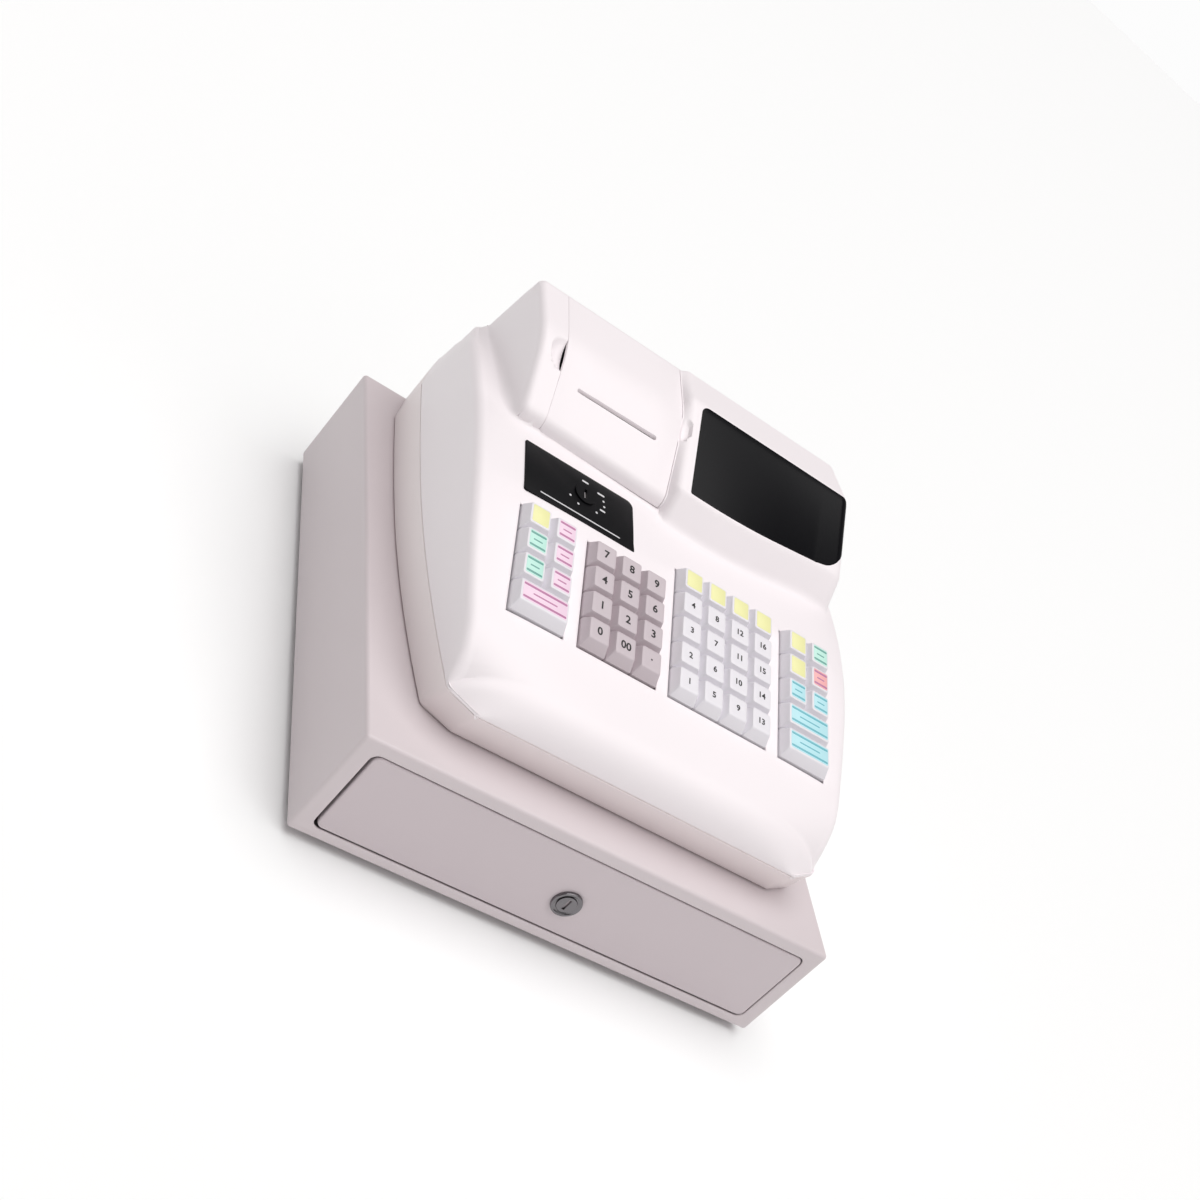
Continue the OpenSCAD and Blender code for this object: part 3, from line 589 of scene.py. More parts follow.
@dataclass(frozen=True)
class ConsoleForm:
    """Outer form of the console: plan outline, body and display hood.

    A pair that feeds a ramp is its start and its span. The shoulder is where the display hood's
    top starts to fall to the right, where that arc ends, and its radius; from there it falls by
    a depth and a slope. The sill is the window's lower edge, as way from the front and depth
    below the top. The wrap is where the front starts to turn round the end, and how gently.
    """

    centre: float = 4.5
    half_width: float = 149.5
    front_half: float = 116.5
    front: float = -158.6
    foot: float = -149.0
    back: float = 183.5
    chamfer: float = 11.0
    foot_z: float = 83.6
    parting_z: float = 107.4
    parting_rise: float = 0.028
    nose_z: float = 127.7
    roll: float = 7.0
    deck_tilt: float = 8.0
    bend: float = -14.0
    rear_break: float = 122.0
    rear_lean: float = 20.0
    rear_radius: float = 8.0
    rear_growth: float = 0.1
    widest: float = 35.0
    barrel: Point = (1130.0, 2400.0)
    taper_start: float = 146.0
    taper: float = 0.293
    crown: float = 2.0
    crest: float = 173.6
    seams: Point = (-104.0, -9.9)
    hinge: Point = (142.235, 217.85)
    left_end: float = -121.5
    left_roll: float = 5.5
    hoods_start: Point = (8.0, 26.0)
    flank_stops: Box = (-138.0, -121.5, -114.0, -105.0)
    flank_flare: float = 0.05
    flank_level: float = 60.0
    flank_limits: Point = (-1.2, 4.5)
    end_start: Point = (112.0, 14.0)
    end_stop: Point = (143.7, -10.2)
    end_flare: float = 0.09
    end_level: float = 145.0
    bow_start: float = 22.0
    bow: float = 560.0
    bow_end: Point = (80.0, 6.0)
    bow_slope: float = 0.2
    wrap: Point = (128.0, 31.0)
    blends: Triple = (1.6, 1.4, 6.0)
    display_sides: Point = (-9.0, 144.0)
    display_roll: float = 7.0
    display_top: float = 226.0
    display_foot: float = 140.0
    sill: Point = (38.5, 29.5)
    window_top: float = 108.5
    window_head: float = 0.6
    shoulder: Triple = (126.0, 133.5, 9.0)
    shoulder_fall: Point = (4.0, 4.0)

    @property
    def lean(self) -> float:
        """How far the rear leans for each millimetre of height."""
        return math.tan(math.radians(self.rear_lean))

    @property
    def deck(self) -> Slope:
        """The deck's plane, which starts where the keyboard's plane bends."""
        return Slope((self.bend, KEYBOARD.height(self.bend)), self.deck_tilt)

    def rear_y(self, z: float) -> float:
        """The rear plane at a height."""
        return self.back - max(z - self.rear_break, 0) * self.lean

    def rear_z(self, y: Array) -> Array:
        """Height of the rear plane over a place."""
        return self.rear_break + (self.back - y) / self.lean

    def parting(self, y: Array) -> Array:
        """Height of the parting line between the two cases."""
        return self.parting_z + self.parting_rise * (y - self.front)

    def body_path(self) -> Array:
        """Middle section of the body, front to rear.

        Returns:
            Points of y and height.
        """
        return rounded_path(
            [
                (self.front, self.parting_z, 0),
                (self.front, self.nose_z, 22),
                (self.bend, KEYBOARD.height(self.bend), 60),
                (42.0, self.deck.height(42.0), 30),
                (self.rear_y(172.0), 172.0, 8),
                (self.back, self.rear_break, 0),
            ]
        )

    def crease_path(self) -> Array:
        """The line where the sides' roll starts, front to rear.

        Returns:
            Points of y and height.
        """
        start = -147.5
        return rounded_path(
            [
                (start, 60, 0),
                (start, KEYBOARD.height(start) - self.crown, 48),
                (3.1, self.crest, 390),
                (104.0, self.crest, 300),
                (169.2, 165.0, 8),
                (self.back, self.rear_break - self.crown, 0),
            ]
        )

    def side(self, y: Array, z: Array | float = 0.0) -> Array:
        """Half width: a shallow arc each way from the widest place, a taper and a round corner.

        The rear corner follows the leaning rear plane, and its radius grows with the height.

        Args:
            y: Y of each point.
            z: Height of each point.

        Returns:
            The half widths.
        """
        rise = np.maximum(np.asarray(z, float) - self.rear_break, 0.0)
        y = np.minimum(np.asarray(y, float) + rise * self.lean, self.back)
        arc = np.where(y < self.widest, *self.barrel)
        width = self.half_width - (np.minimum(y, self.taper_start) - self.widest) ** 2 / 2 / arc
        width = width - np.maximum(y - self.taper_start, 0) * self.taper
        radius = self.rear_radius + rise * self.rear_growth
        return width - arc_drop(np.maximum(y - self.back + radius, 0), radius)

    def plan(self, front: float) -> Array:
        """Right-hand half of the outline whose flat front lies at y = front.

        Args:
            front: Y of the flat front.

        Returns:
            Points of y and half width, y rising.
        """
        start = front + self.chamfer
        beyond = start + 6.0
        corner = rounded_path(
            [
                (front, 0, 0),
                (front, self.front_half, 3),
                (start, float(self.side(start)), 5),
                (beyond, float(self.side(beyond)), 0),
            ],
            6,
        )
        last = self.back - self.rear_radius
        turn = np.radians(np.linspace(0, 90, 10))[1:]
        sides = np.concatenate(
            [
                np.linspace(beyond, self.taper_start, 50)[1:],
                np.linspace(self.taper_start, last, 10)[1:],
                last + self.rear_radius * np.sin(turn),
            ]
        )
        return np.concatenate([corner, np.column_stack([sides, self.side(sides)])])

    def display_front(self, x: Array) -> Array:
        """How far the display hood's front runs back at x: a parabola, then a straight line."""
        end, reach = self.bow_end
        straight = reach + (x - end) * self.bow_slope
        return np.where(x < end, (x - self.bow_start) ** 2 / self.bow, straight)

    def end_shift(self, x: Array, y: Array) -> Array:
        """How far the display hood's right end flares out at x and y: more to the front."""
        share = ramp(x, *self.end_start) * ramp(x, *self.end_stop)
        return self.end_flare * share * (self.end_level - y) * ramp(y, *self.hoods_start)

    def flank_shift(self, x: Array, y: Array) -> Array:
        """How far the printer hood's left flank flares out, to the left and more to the back."""
        near = np.interp(x, self.flank_stops, [0.0, 1.0, 1.0, 0.0]) * ramp(y, *self.hoods_start)
        return -np.clip(self.flank_flare * (y - self.flank_level), *self.flank_limits) * near

    def display_height(self, x: Array, y: Array) -> Array:
        """Height of the display hood before its end flares: the lowest of four blended planes.

        They are the front slope, the window's slope, the top and the rear plane, each moved in
        along its normal by the roll at the hood's left flank.

        Args:
            x: X of each point before the flare.
            y: Y of each point.

        Returns:
            The heights, zero outside the hood.
        """
        left, right = self.display_sides
        start, edge, radius = self.shoulder
        depth, fall = self.shoulder_fall
        arc = arc_drop(np.clip(x - start, 0.0, edge - start), radius)
        top = self.display_top - np.where(x < edge, arc, depth + (x - edge) * fall)
        wrap, tightness = self.wrap
        away = self.display_front(x) + np.maximum(x - wrap, 0.0) ** 2 / tightness
        stops = [
            (away, self.display_foot),
            (self.sill[0] + away, top - self.sill[1]),
            (self.window_top, top - self.window_head),
            (self.back - (top - self.rear_break) * self.lean, top),
        ]
        planes = []
        for (near, low), (far, high) in zip(stops[:-1], stops[1:]):
            slope = (high - low) / (far - near)
            planes.append((low + (y - near) * slope, slope))
        planes.append((self.rear_z(y), -1 / self.lean))
        roll = edge_drop(x - left, self.display_roll)
        lowered = [height - roll * np.sqrt(1 + slope**2) for height, slope in planes]
        height = lowered[0]
        for other, blend in zip(lowered[1:], self.blends):
            height = smooth_min(height, other, blend)
        return np.where((x < left) | (x > right), 0.0, height)


@dataclass
class PrinterHood:
    """Height of the printer hood, from a table of its section moved in by several depths."""

    form: ConsoleForm
    front: float = 35.5
    base: float = 140.0
    slope_foot: Point = (36.0, 185.5)
    slope_top: Point = (92.0, 216.5)
    skew: float = 0.062
    pivot: float = -11.0
    skewed: Point = (79.0, -37.0)

    def __post_init__(self) -> None:
        """Works the table out once."""
        form = self.form
        self.path = [
            (self.front, self.base, 0),
            (*self.slope_foot, 10),
            (*self.slope_top, 80),
            (146.2, 224.5, 6),
            (form.rear_y(self.base), self.base, 0),
        ]
        self.depths = np.linspace(0, form.left_roll, 13)
        self.ys = np.arange(30.0, 180.0, 0.1)
        rows = []
        for depth in self.depths:
            section = rounded_path(inset_path(self.path, float(depth)), 14)
            rows.append(np.interp(self.ys, section[:, 0], section[:, 1], left=0.0, right=0.0))
        self.table = np.array(rows)

    @property
    def slope(self) -> Slope:
        """The hood's front slope, which carries the ticket slot and the thumb recesses."""
        run = self.slope_top[0] - self.slope_foot[0]
        rise = self.slope_top[1] - self.slope_foot[1]
        return Slope(self.slope_foot, math.degrees(math.atan2(rise, run)))

    def front_at(self, x: Array) -> Array:
        """Y of the front at x."""
        return self.front + self.skew * (self.pivot - x)

    def shift(self, x: Array | float, y: Array) -> Array:
        """How far the section runs back at x: fully at the front, and not at all at the top."""
        return self.skew * (self.pivot - x) * ramp(y, *self.skewed)

    def height(self, x: Array, y: Array) -> Array:
        """Height of the hood: the table's value between its two nearest rows and columns.

        Args:
            x: X of each point before the flank flares.
            y: Y of each point.

        Returns:
            The heights, zero outside the hood's outline.
        """
        form, table = self.form, self.table
        inset = edge_drop(x - form.left_end, form.left_roll)
        place = (y - self.shift(x, y) - self.ys[0]) / (self.ys[1] - self.ys[0])
        place = np.clip(place, 0, len(self.ys) - 2)
        depth = np.clip(inset / (self.depths[1] - self.depths[0]), 0, len(self.depths) - 2)
        column, row = place.astype(int), depth.astype(int)
        across, down = place - column, depth - row
        low = table[row, column] * (1 - across) + table[row, column + 1] * across
        high = table[row + 1, column] * (1 - across) + table[row + 1, column + 1] * across
        inside = (x >= form.left_end) & (x <= 0.0) & (y >= self.front_at(x) + inset)
        return np.where(inside, low * (1 - down) + high * down, 0.0)

    def outside(self, x: Array, y: Array) -> Array:
        """Distance in plan from the hood's front and left outline, round at their corner.

        Args:
            x: X of each point before the flank flares.
            y: Y of each point.

        Returns:
            The distances, negative within the outline.
        """
        radius = self.form.left_roll
        front = self.front_at(x)
        corner_x, corner_y = self.form.left_end + radius, front + radius
        distance = np.maximum(front - y, self.form.left_end - x)
        corner = np.hypot(x - corner_x, y - corner_y) - radius
        return np.where((x < corner_x) & (y < corner_y), corner, distance)


# Console ---------------------------------------------------------------
@dataclass
class KeyLayout:
    """Where the keys stand on the keyboard's slope."""

    slope: Slope = KEYBOARD
    pitch: float = 19.05
    gap: float = 0.7
    front: float = -45.9
    extra: float = 2.2
    margin: float = 0.5
    groups: dict[str, tuple[float, int, int]] = field(
        default_factory=lambda: {
            "left": (-113.2, 2, 4),
            "number": (-64.6, 3, 4),
            "column": (2.4, 4, 5),
            "right": (89.4, 2, 5),
        }
    )

    def row_start(self, row: int) -> float:
        """Front edge of a row, up the slope."""
        return self.front + row * self.pitch + (self.extra if row > 0 else 0.0)

    def row_depth(self, row: int) -> float:
        """Depth of a row."""
        return self.pitch + (0.0 if row > 0 else self.extra)

    def y_at(self, distance: float) -> float:
        """Y of a place up the slope."""
        return self.slope.origin[0] + distance * math.cos(math.radians(self.slope.tilt))

    def openings(self) -> list[Box]:
        """The openings in the upper case, one for each group.

        Returns:
            The left, right, front and back side of each.
        """
        return [
            (
                left - self.margin,
                left + columns * self.pitch + self.margin,
                self.y_at(self.front - self.margin),
                self.y_at(self.row_start(rows) + self.margin),
            )
            for left, columns, rows in self.groups.values()
        ]


@dataclass
class UpperCase:
    """The console's upper case: one moulded skin with key openings and the printer bay."""

    form: ConsoleForm
    hood: PrinterHood
    layout: KeyLayout
    skin: float = 2.0
    flat_half: float = 128.0
    full_half: float = 142.5
    edge_roll: float = 0.7
    groove: float = 0.9
    bay_back: float = 142.2
    step_in: float = 0.8
    flattest: float = 0.96
    thin_roll: Triple = (4.5, 115.0, 40.0)
    crown_power: Box = (6.0, 0.08, 0.9, 140.0)
    fillet_radius: float = 2.0
    fillet_grow: Triple = (6.0, 38.0, 24.0)
    fillet_shrink: Triple = (4.5, 120.0, 34.0)
    fillet_end: Point = (167.0, -14.0)
    hood_fillet: float = 3.5
    rear_from: float = 120.0
    panel: Box = (-113.0, -30.5, -18.0, 25.98)
    panel_depth: float = 0.8
    window_left: float = 2.5
    window_right: float = 130.0
    window_depth: float = 0.6
    rear_window: Box = (45.0, 115.0, 150.67, 159.56)
    bowl_place: Point = (85.0, 212.2)
    bowls: tuple[Box, ...] = ((-104.0, 10.5, 13.0, 4.8), (-9.9, 7.0, 10.0, 2.2))
    rim_steps: tuple[float, ...] = (0.0, 0.12, 0.35, 0.75)

    def rims(self, first: int) -> list[float]:
        """Places on and just outside the edges of the key openings.

        Args:
            first: 0 for the left and right edges, 2 for the front and back ones.

        Returns:
            The places.
        """
        return [
            opening[first + side] + (2 * side - 1) * step
            for opening in self.layout.openings()
            for side in (0, 1)
            for step in self.rim_steps
        ]

    def columns(self) -> Array:
        """Columns between the side rolls, dense where the form turns.

        Returns:
            Reference x of each.
        """
        stops = [
            (-138.0, 1.0), (-130.0, 0.8), (-123.4, 0.5), (-121.52, 0.02), (-121.5, 0.5),
            (-116.0, 1.0), (-104.0, 2.6), (-9.9, 0.9), (2.5, 2.8), (118.0, 1.0), (144.0, 0.9),
            (147.0, 1.0),
        ]
        edges = [*(value for value, _ in stops), *self.rear_window[:2], *self.rims(0)]
        return clear_of(spaced(stops), np.unique(np.round(edges, 3)), 0.3)

    def rows(self) -> tuple[Array, Array]:
        """Y of the rows, and how high each may reach.

        Returns:
            The rows' y and their height limits.
        """
        stops = [
            (-142.6, 1.0), (-137.0, 3.0), (-28.0, 3.0), (-19.0, 1.4), (-9.0, 3.0), (18.0, 1.0),
            (32.0, 0.6), (44.0, 1.0), (54.0, 2.5), (78.0, 1.0), (103.0, 2.0), (110.0, 0.8),
            (116.0, 2.5), (138.0, 0.8), (165.0, 2.0), (175.0, 1.2), (181.0, 0.6), (183.5, 1.0),
        ]
        edges = [self.bay_back, *self.rear_window[2:], *self.rims(2)]
        ys = clear_of(spaced(stops), np.unique(np.round(edges, 3)), 0.4)
        path = self.form.body_path()
        limits = np.interp(ys, path[:, 0], path[:, 1])
        limits[-1] = self.form.rear_break
        nose = path[(path[:, 0] < -143.0) & (path[:, 1] > 108.5)]
        front = [(self.form.front, height) for height in (107.42, 107.9)]
        tail = [(self.form.back, height) for height in (120.3, 118.6, 117.5, 117.0)]
        rows = np.concatenate([front, nose, np.column_stack([ys, limits]), tail])
        return rows[:, 0], rows[:, 1]

    def bowl(self, x: Array, y: Array, height: Array) -> Array:
        """Sinks the thumb recesses beside the cover.

        Each is the lower half of an ellipsoid that lies in the hood's slope: the lower root of
        its quadratic in the height.

        Args:
            x: X of each point.
            y: Y of each point.
            height: Height of the hood there.

        Returns:
            The heights with the recesses.
        """
        tilt = math.radians(self.hood.slope.tilt)
        cosine, sine = math.cos(tilt), math.sin(tilt)
        along = y - self.bowl_place[0]
        for centre, across, length, depth in self.bowls:
            square = sine**2 / length**2 + cosine**2 / depth**2
            linear = along * cosine * sine * (1 / length**2 - 1 / depth**2)
            rest = along**2 * (cosine**2 / length**2 + sine**2 / depth**2)
            inside = linear**2 - square * (rest + ((x - centre) / across) ** 2 - 1)
            floor = self.bowl_place[1] + (-linear - np.sqrt(np.maximum(inside, 0.0))) / square
            height = smooth_min(height, np.where(inside > 0, floor, height + 10), 1.0)
        return height

    def fillet(self, x: Array, place: Array, y: Array) -> Array:
        """Fillet between the printer hood's flank and the deck, none in front of the cover.

        Args:
            x: X of each point.
            place: X of each point before the hoods' ends flare.
            y: Y of each point.

        Returns:
            How far the deck rises towards the hood.
        """
        outside = self.hood.outside(place, y)
        (more, *grow), (less, *shrink) = self.fillet_grow, self.fillet_shrink
        rim = self.fillet_radius + more * ramp(y, *grow) - less * ramp(y, *shrink)
        left, right = self.form.seams
        free = ramp(x, left, 3.0) * ramp(x, right + 1.0, -2.0)
        rise = edge_drop(outside, rim) * (1 - free) * ramp(y, *self.fillet_end)
        return np.where((outside > 0) & (x < 0), rise, 0.0)

    def dips(self, x: Array, y: Array) -> Array:
        """How far the skin sinks: round at the key openings, flat under the panel and window.

        Args:
            x: X of each point.
            y: Y of each point.

        Returns:
            The depths.
        """
        depth = 0.0
        for left, right, front, back in self.layout.openings():
            away_x = np.maximum(np.maximum(left - x, x - right), 0)
            away_y = np.maximum(np.maximum(front - y, y - back), 0)
            depth = depth + edge_drop(np.hypot(away_x, away_y), self.edge_roll)
        left, right, front, back = self.panel
        within = np.minimum(np.minimum(x - left, right - x), np.minimum(y - front, back - y))
        depth = depth + ramp(within, 0.8, 1.2) * self.panel_depth
        front, back = self.form.sill[0] + 1.0 + self.form.display_front(x), self.form.window_top
        within = np.minimum(x - self.window_left, self.window_right - x)
        within = np.minimum(within, np.minimum(y - front, back - y))
        return depth + ramp(within, 1.0, 3.0) * self.window_depth

    def top(self, x: Array, place: Array, y: Array, row: tuple[Array, Array, Array]) -> Array:
        """Height of the skin: body crown, hoods with their fillets, recesses and edges.

        Args:
            x: X of each point.
            place: X of each point before the hoods' ends flare.
            y: Y of each point.
            row: For each row, the body's middle height, the height of the side roll, and the
                half width between the side rolls.

        Returns:
            The heights.
        """
        form = self.form
        high, edge, half = row
        share = np.clip(np.abs(x - form.centre) / half, 0, 1)
        power, rise, more, start = self.crown_power
        power = power + rise * np.maximum(y, 0) + more * np.maximum(y - start, 0)
        body = edge + (high - edge) * (1 - share**power)
        printer = self.bowl(x, y, self.hood.height(place, y))
        display = self.bowl(x, y, form.display_height(place, y))
        height = np.maximum(body + self.fillet(x, place, y), printer)
        height = smooth_max(height, display, np.where(display > 1, self.hood_fillet, 0.01))
        rear = np.where(y > form.back - 0.001, high, np.maximum(form.rear_z(y), high))
        height = np.where(y > self.rear_from, np.minimum(height, rear), height)
        return height - self.dips(x, y)

    def wall(self, ys: Array, half: Array, base: Array, edge: Array, roll: Array) -> Array:
        """The left wall: in at the parting line's groove, up, and round to the crown.

        Args:
            ys: Y of the rows.
            half: Half width of each row.
            base: Height of the parting line.
            edge: Height of the side roll's top.
            roll: The side roll's radius.

        Returns:
            Rows, columns and coordinates.
        """
        form = self.form
        turns = np.radians(np.arange(0, 90, 15))
        lifts = np.array([0.0, 0.05, 0.3, 0.6])
        start, arc = (edge - roll)[:, None], roll[:, None]
        straight = np.maximum(start - base[:, None], 0.0)
        z = np.concatenate([base[:, None] + straight * lifts, start + arc * np.sin(turns)], axis=1)
        z[:, 1] = np.minimum(z[:, 1], base + 0.5)
        flat = np.zeros((len(ys), len(lifts)))
        flat[:, 0] = self.groove
        pull = np.concatenate([flat, arc * (1 - np.cos(turns))], axis=1)
        y = np.broadcast_to(ys[:, None], pull.shape)
        lost = form.side(y) - form.side(y, z)
        return np.stack([form.centre - half[:, None] + lost + pull, y, z], -1)

    def grid(self) -> Array:
        """The skin's outer side: left wall, top and right wall, row by row from the front.

        Returns:
            Rows, columns and coordinates.
        """
        form = self.form
        ys, highs = self.rows()
        plan = form.plan(form.front)
        crease = form.crease_path()
        half = np.interp(ys, plan[:, 0], plan[:, 1])
        half[ys <= form.front] = form.front_half - self.step_in
        base = form.parting(ys)
        edge = np.interp(ys, crease[:, 0], crease[:, 1], left=60.0)
        edge = np.maximum(edge, base + self.step_in)
        edge = np.maximum(np.minimum(edge, highs - 0.3), base)
        thinner, *back = self.thin_roll
        roll = form.roll - thinner * ramp(ys, *back)
        roll = np.clip(np.minimum(roll, edge - base - 0.2), 0.0, None)
        inner = (half - (form.side(ys) - form.side(ys, edge)) - roll)[:, None]
        reference = (self.columns() - form.centre)[None, :]
        flat = np.minimum(self.flat_half, self.flattest * inner)
        size = np.abs(reference)
        beyond = (size - self.flat_half) / (self.full_half - self.flat_half)
        spread = np.where(
            size <= self.flat_half,
            size * flat / self.flat_half,
            flat + beyond * (inner - flat),
        )
        x = form.centre + np.sign(reference) * spread
        y = np.broadcast_to(ys[:, None], x.shape)
        place = np.broadcast_to(reference + form.centre, x.shape)
        x = x + form.end_shift(place, y) + form.flank_shift(place, y)
        top = self.top(x, place, y, (highs[:, None], edge[:, None], inner))
        top = np.maximum(top, base[:, None])
        left = self.wall(ys, half, base, edge, roll)
        right = left[:, ::-1] * [-1, 1, 1] + [2 * form.centre, 0, 0]
        grid = np.concatenate([left, np.stack([x, y, top], -1), right], axis=1)
        grid[0, :, 1] += self.groove
        grid[-1, :, 1] -= self.groove
        return grid

    def kept(self, grid: Array) -> Array:
        """Which cells are there: all but the key openings, the bay and the rear window.

        Args:
            grid: The skin's outer side.

        Returns:
            One truth value for each cell.
        """
        middle = (grid[:-1, :-1] + grid[1:, 1:]) / 2
        x, y = middle[..., 0], middle[..., 1]
        bay = (*self.form.seams, self.hood.front_at(x), self.bay_back)
        keep = np.ones(x.shape, bool)
        for left, right, front, back in (*self.layout.openings(), self.rear_window, bay):
            keep &= ~((x > left) & (x < right) & (y > front) & (y < back))
        return keep

    def sill(self) -> Array:
        """The ledge that goes on under the cover's foot, as sections from left to right.

        Returns:
            Rings of points.
        """
        left, right = self.form.seams
        xs = np.linspace(left - 0.4, right + 0.4, 40)
        corners = []
        for ahead, lift in ((-0.6, -0.12), (5.0, -0.12), (5.0, -2.2), (-0.6, -2.2)):
            ys = self.hood.front_at(xs) + ahead
            corners.append(np.column_stack([xs, ys, self.form.deck.height(ys) + lift]))
        return np.stack(corners, axis=1)

    def build(self) -> Piece:
        """Makes the skin with its thickness.

        Returns:
            The upper case.
        """
        grid = self.grid()
        builder = MeshBuilder("upper_case_skin")
        builder.add(*thickened(grid, self.kept(grid), self.skin), Look.CASE_UPPER)
        builder.loft(self.sill(), Look.CASE_UPPER)
        return fitted(builder.build(32), "cabinet", "upper_case")


@dataclass
class LowerCase:
    """The console's lower case: a tray whose front leans forward up to the parting line."""

    form: ConsoleForm
    wall: float = 2.6
    inlet: Box = (-104.0, -76.0, 88.5, 109.5)

    def ring(
        self, front: float, height: float | None, inset: float, over: float = 0.0
    ) -> Array:
        """One level of the case.

        Args:
            front: Y of the flat front.
            height: Its height, or None for the parting line.
            inset: How far it lies within the outline.
            over: Height added to the parting line.

        Returns:
            Closed ring of points.
        """
        plan = self.form.plan(front)
        y = np.clip(plan[:, 0], front + inset, self.form.back - inset)
        half = np.maximum(plan[:, 1] - inset, 0)
        xs = np.concatenate([half[1:], -half[:0:-1]]) + self.form.centre
        ys = np.concatenate([y[1:], y[:0:-1]])
        zs = self.form.parting(ys) + over if height is None else np.full(len(xs), height)
        return np.column_stack([xs, ys, zs])

    def build(self) -> Piece:
        """Makes the tray, from its floor inside over the rim and down outside, and its inlet.

        Returns:
            The lower case.
        """
        form, wall = self.form, self.wall
        foot, front, low = form.foot, form.front, form.foot_z
        rings = [self.ring(foot, low + wall, wall)]
        for inset, over in ((wall, -0.02), (1.0, -0.02), (0.9, -0.2), (0.0, -0.7)):
            rings.append(self.ring(front, None, inset, over))
        for share in (0.8, 0.6, 0.4, 0.2, 0.06):
            level = self.ring(foot + (front - foot) * share, None, 0.0)
            level[:, 2] = low + (level[:, 2] - low) * share
            rings.append(level)
        for height, inset in ((1.9, 0.0), (1.7, 1.5), (0.0, 1.6)):
            rings.append(self.ring(foot, low + height, inset))
        builder = MeshBuilder("lower_case_tray")
        builder.loft(rings, Look.CASE_LOWER)
        thing = builder.build(28)
        left, right, low, high = self.inlet
        mouth = [(left, low), (right, low), (right, high), (left, high)]
        levels = [
            [(x, y, z) for x, z in mouth] for y in (form.back + 2.0, form.back - 2 * wall)
        ]
        tool = MeshBuilder("inlet_tool")
        tool.loft(levels, Look.CASE_LOWER)
        cut(thing, tool.build())
        return fitted(thing, "cabinet", "lower_case")


@dataclass
class PrinterCover:
    """The hinged cover with the ticket slot: the hood's own section between the two seams."""

    form: ConsoleForm
    hood: PrinterHood
    gap: float = 0.3
    skin: float = 2.4
    barrel: float = 6.0
    slot_x: float = -58.0
    slot_y: float = 68.8
    slot_size: Point = (63.0, 3.0)

    def section(self) -> Array:
        """Closed section in y and z, from the foot over the top and back inside.

        Returns:
            The points.
        """
        form, hood = self.form, self.hood
        foot = form.deck.height(hood.front) + 0.6
        outer = rounded_path(hood.path, 16)
        top = outer[(outer[:, 0] < form.hinge[0]) & (outer[:, 1] > foot)]
        lean = (hood.slope_foot[0] - hood.front) / (hood.slope_foot[1] - hood.base)
        toe = (hood.front + (foot - hood.base) * lean, foot)
        turn = np.radians(np.linspace(90, -120, 18))
        axle = form.hinge + self.barrel * np.column_stack([np.cos(turn), np.sin(turn)])
        inner = rounded_path(inset_path(hood.path, self.skin), 12)
        last = form.hinge[0] - self.barrel - 0.6
        under = inner[(inner[:, 0] < last) & (inner[:, 1] > foot + 0.2)]
        heel = (hood.front + self.skin, foot + 0.2)
        return np.concatenate([[toe], top, axle, under[::-1], [heel]])

    def build(self) -> Piece:
        """Makes the cover and cuts its slot, which narrows inside.

        Returns:
            The cover.
        """
        section = self.section()
        ahead = unit(np.roll(section, -1, axis=0) - np.roll(section, 1, axis=0))
        normal = np.column_stack([-ahead[:, 1], ahead[:, 0]])
        left, right = self.form.seams[0] + self.gap, self.form.seams[1] - self.gap
        rings = []
        for x, inset in (
            (left, 0.4), (left + 0.12, 0.12), (left + 0.4, 0.0), (-80.0, 0.0), (-58.0, 0.0),
            (-34.0, 0.0), (right - 0.4, 0.0), (right - 0.12, 0.12), (right, 0.4),
        ):
            y, z = (section - normal * inset).T
            rings.append(np.column_stack([np.full(len(y), x), y + self.hood.shift(x, y), z]))
        builder = MeshBuilder("printer_cover_skin")
        builder.loft(rings, Look.CASE_UPPER)
        thing = builder.build(34)
        width, height = self.slot_size
        outline = rounded_rectangle(width, height, height / 2, 8)
        slope = self.hood.slope
        place = Slope((self.slot_y, slope.height(self.slot_y)), slope.tilt)
        tool = MeshBuilder("slot_tool")
        levels = [
            place.ring(outline * [1.0, share] + [self.slot_x, 0.0], z)
            for z, share in ((-8.0, 0.4), (-2.2, 0.4), (0.3, 1.3), (8.0, 1.3))
        ]
        tool.loft(levels, Look.CASE_UPPER)
        cut(thing, tool.build())
        return fitted(thing, "cover", "printer_cover")


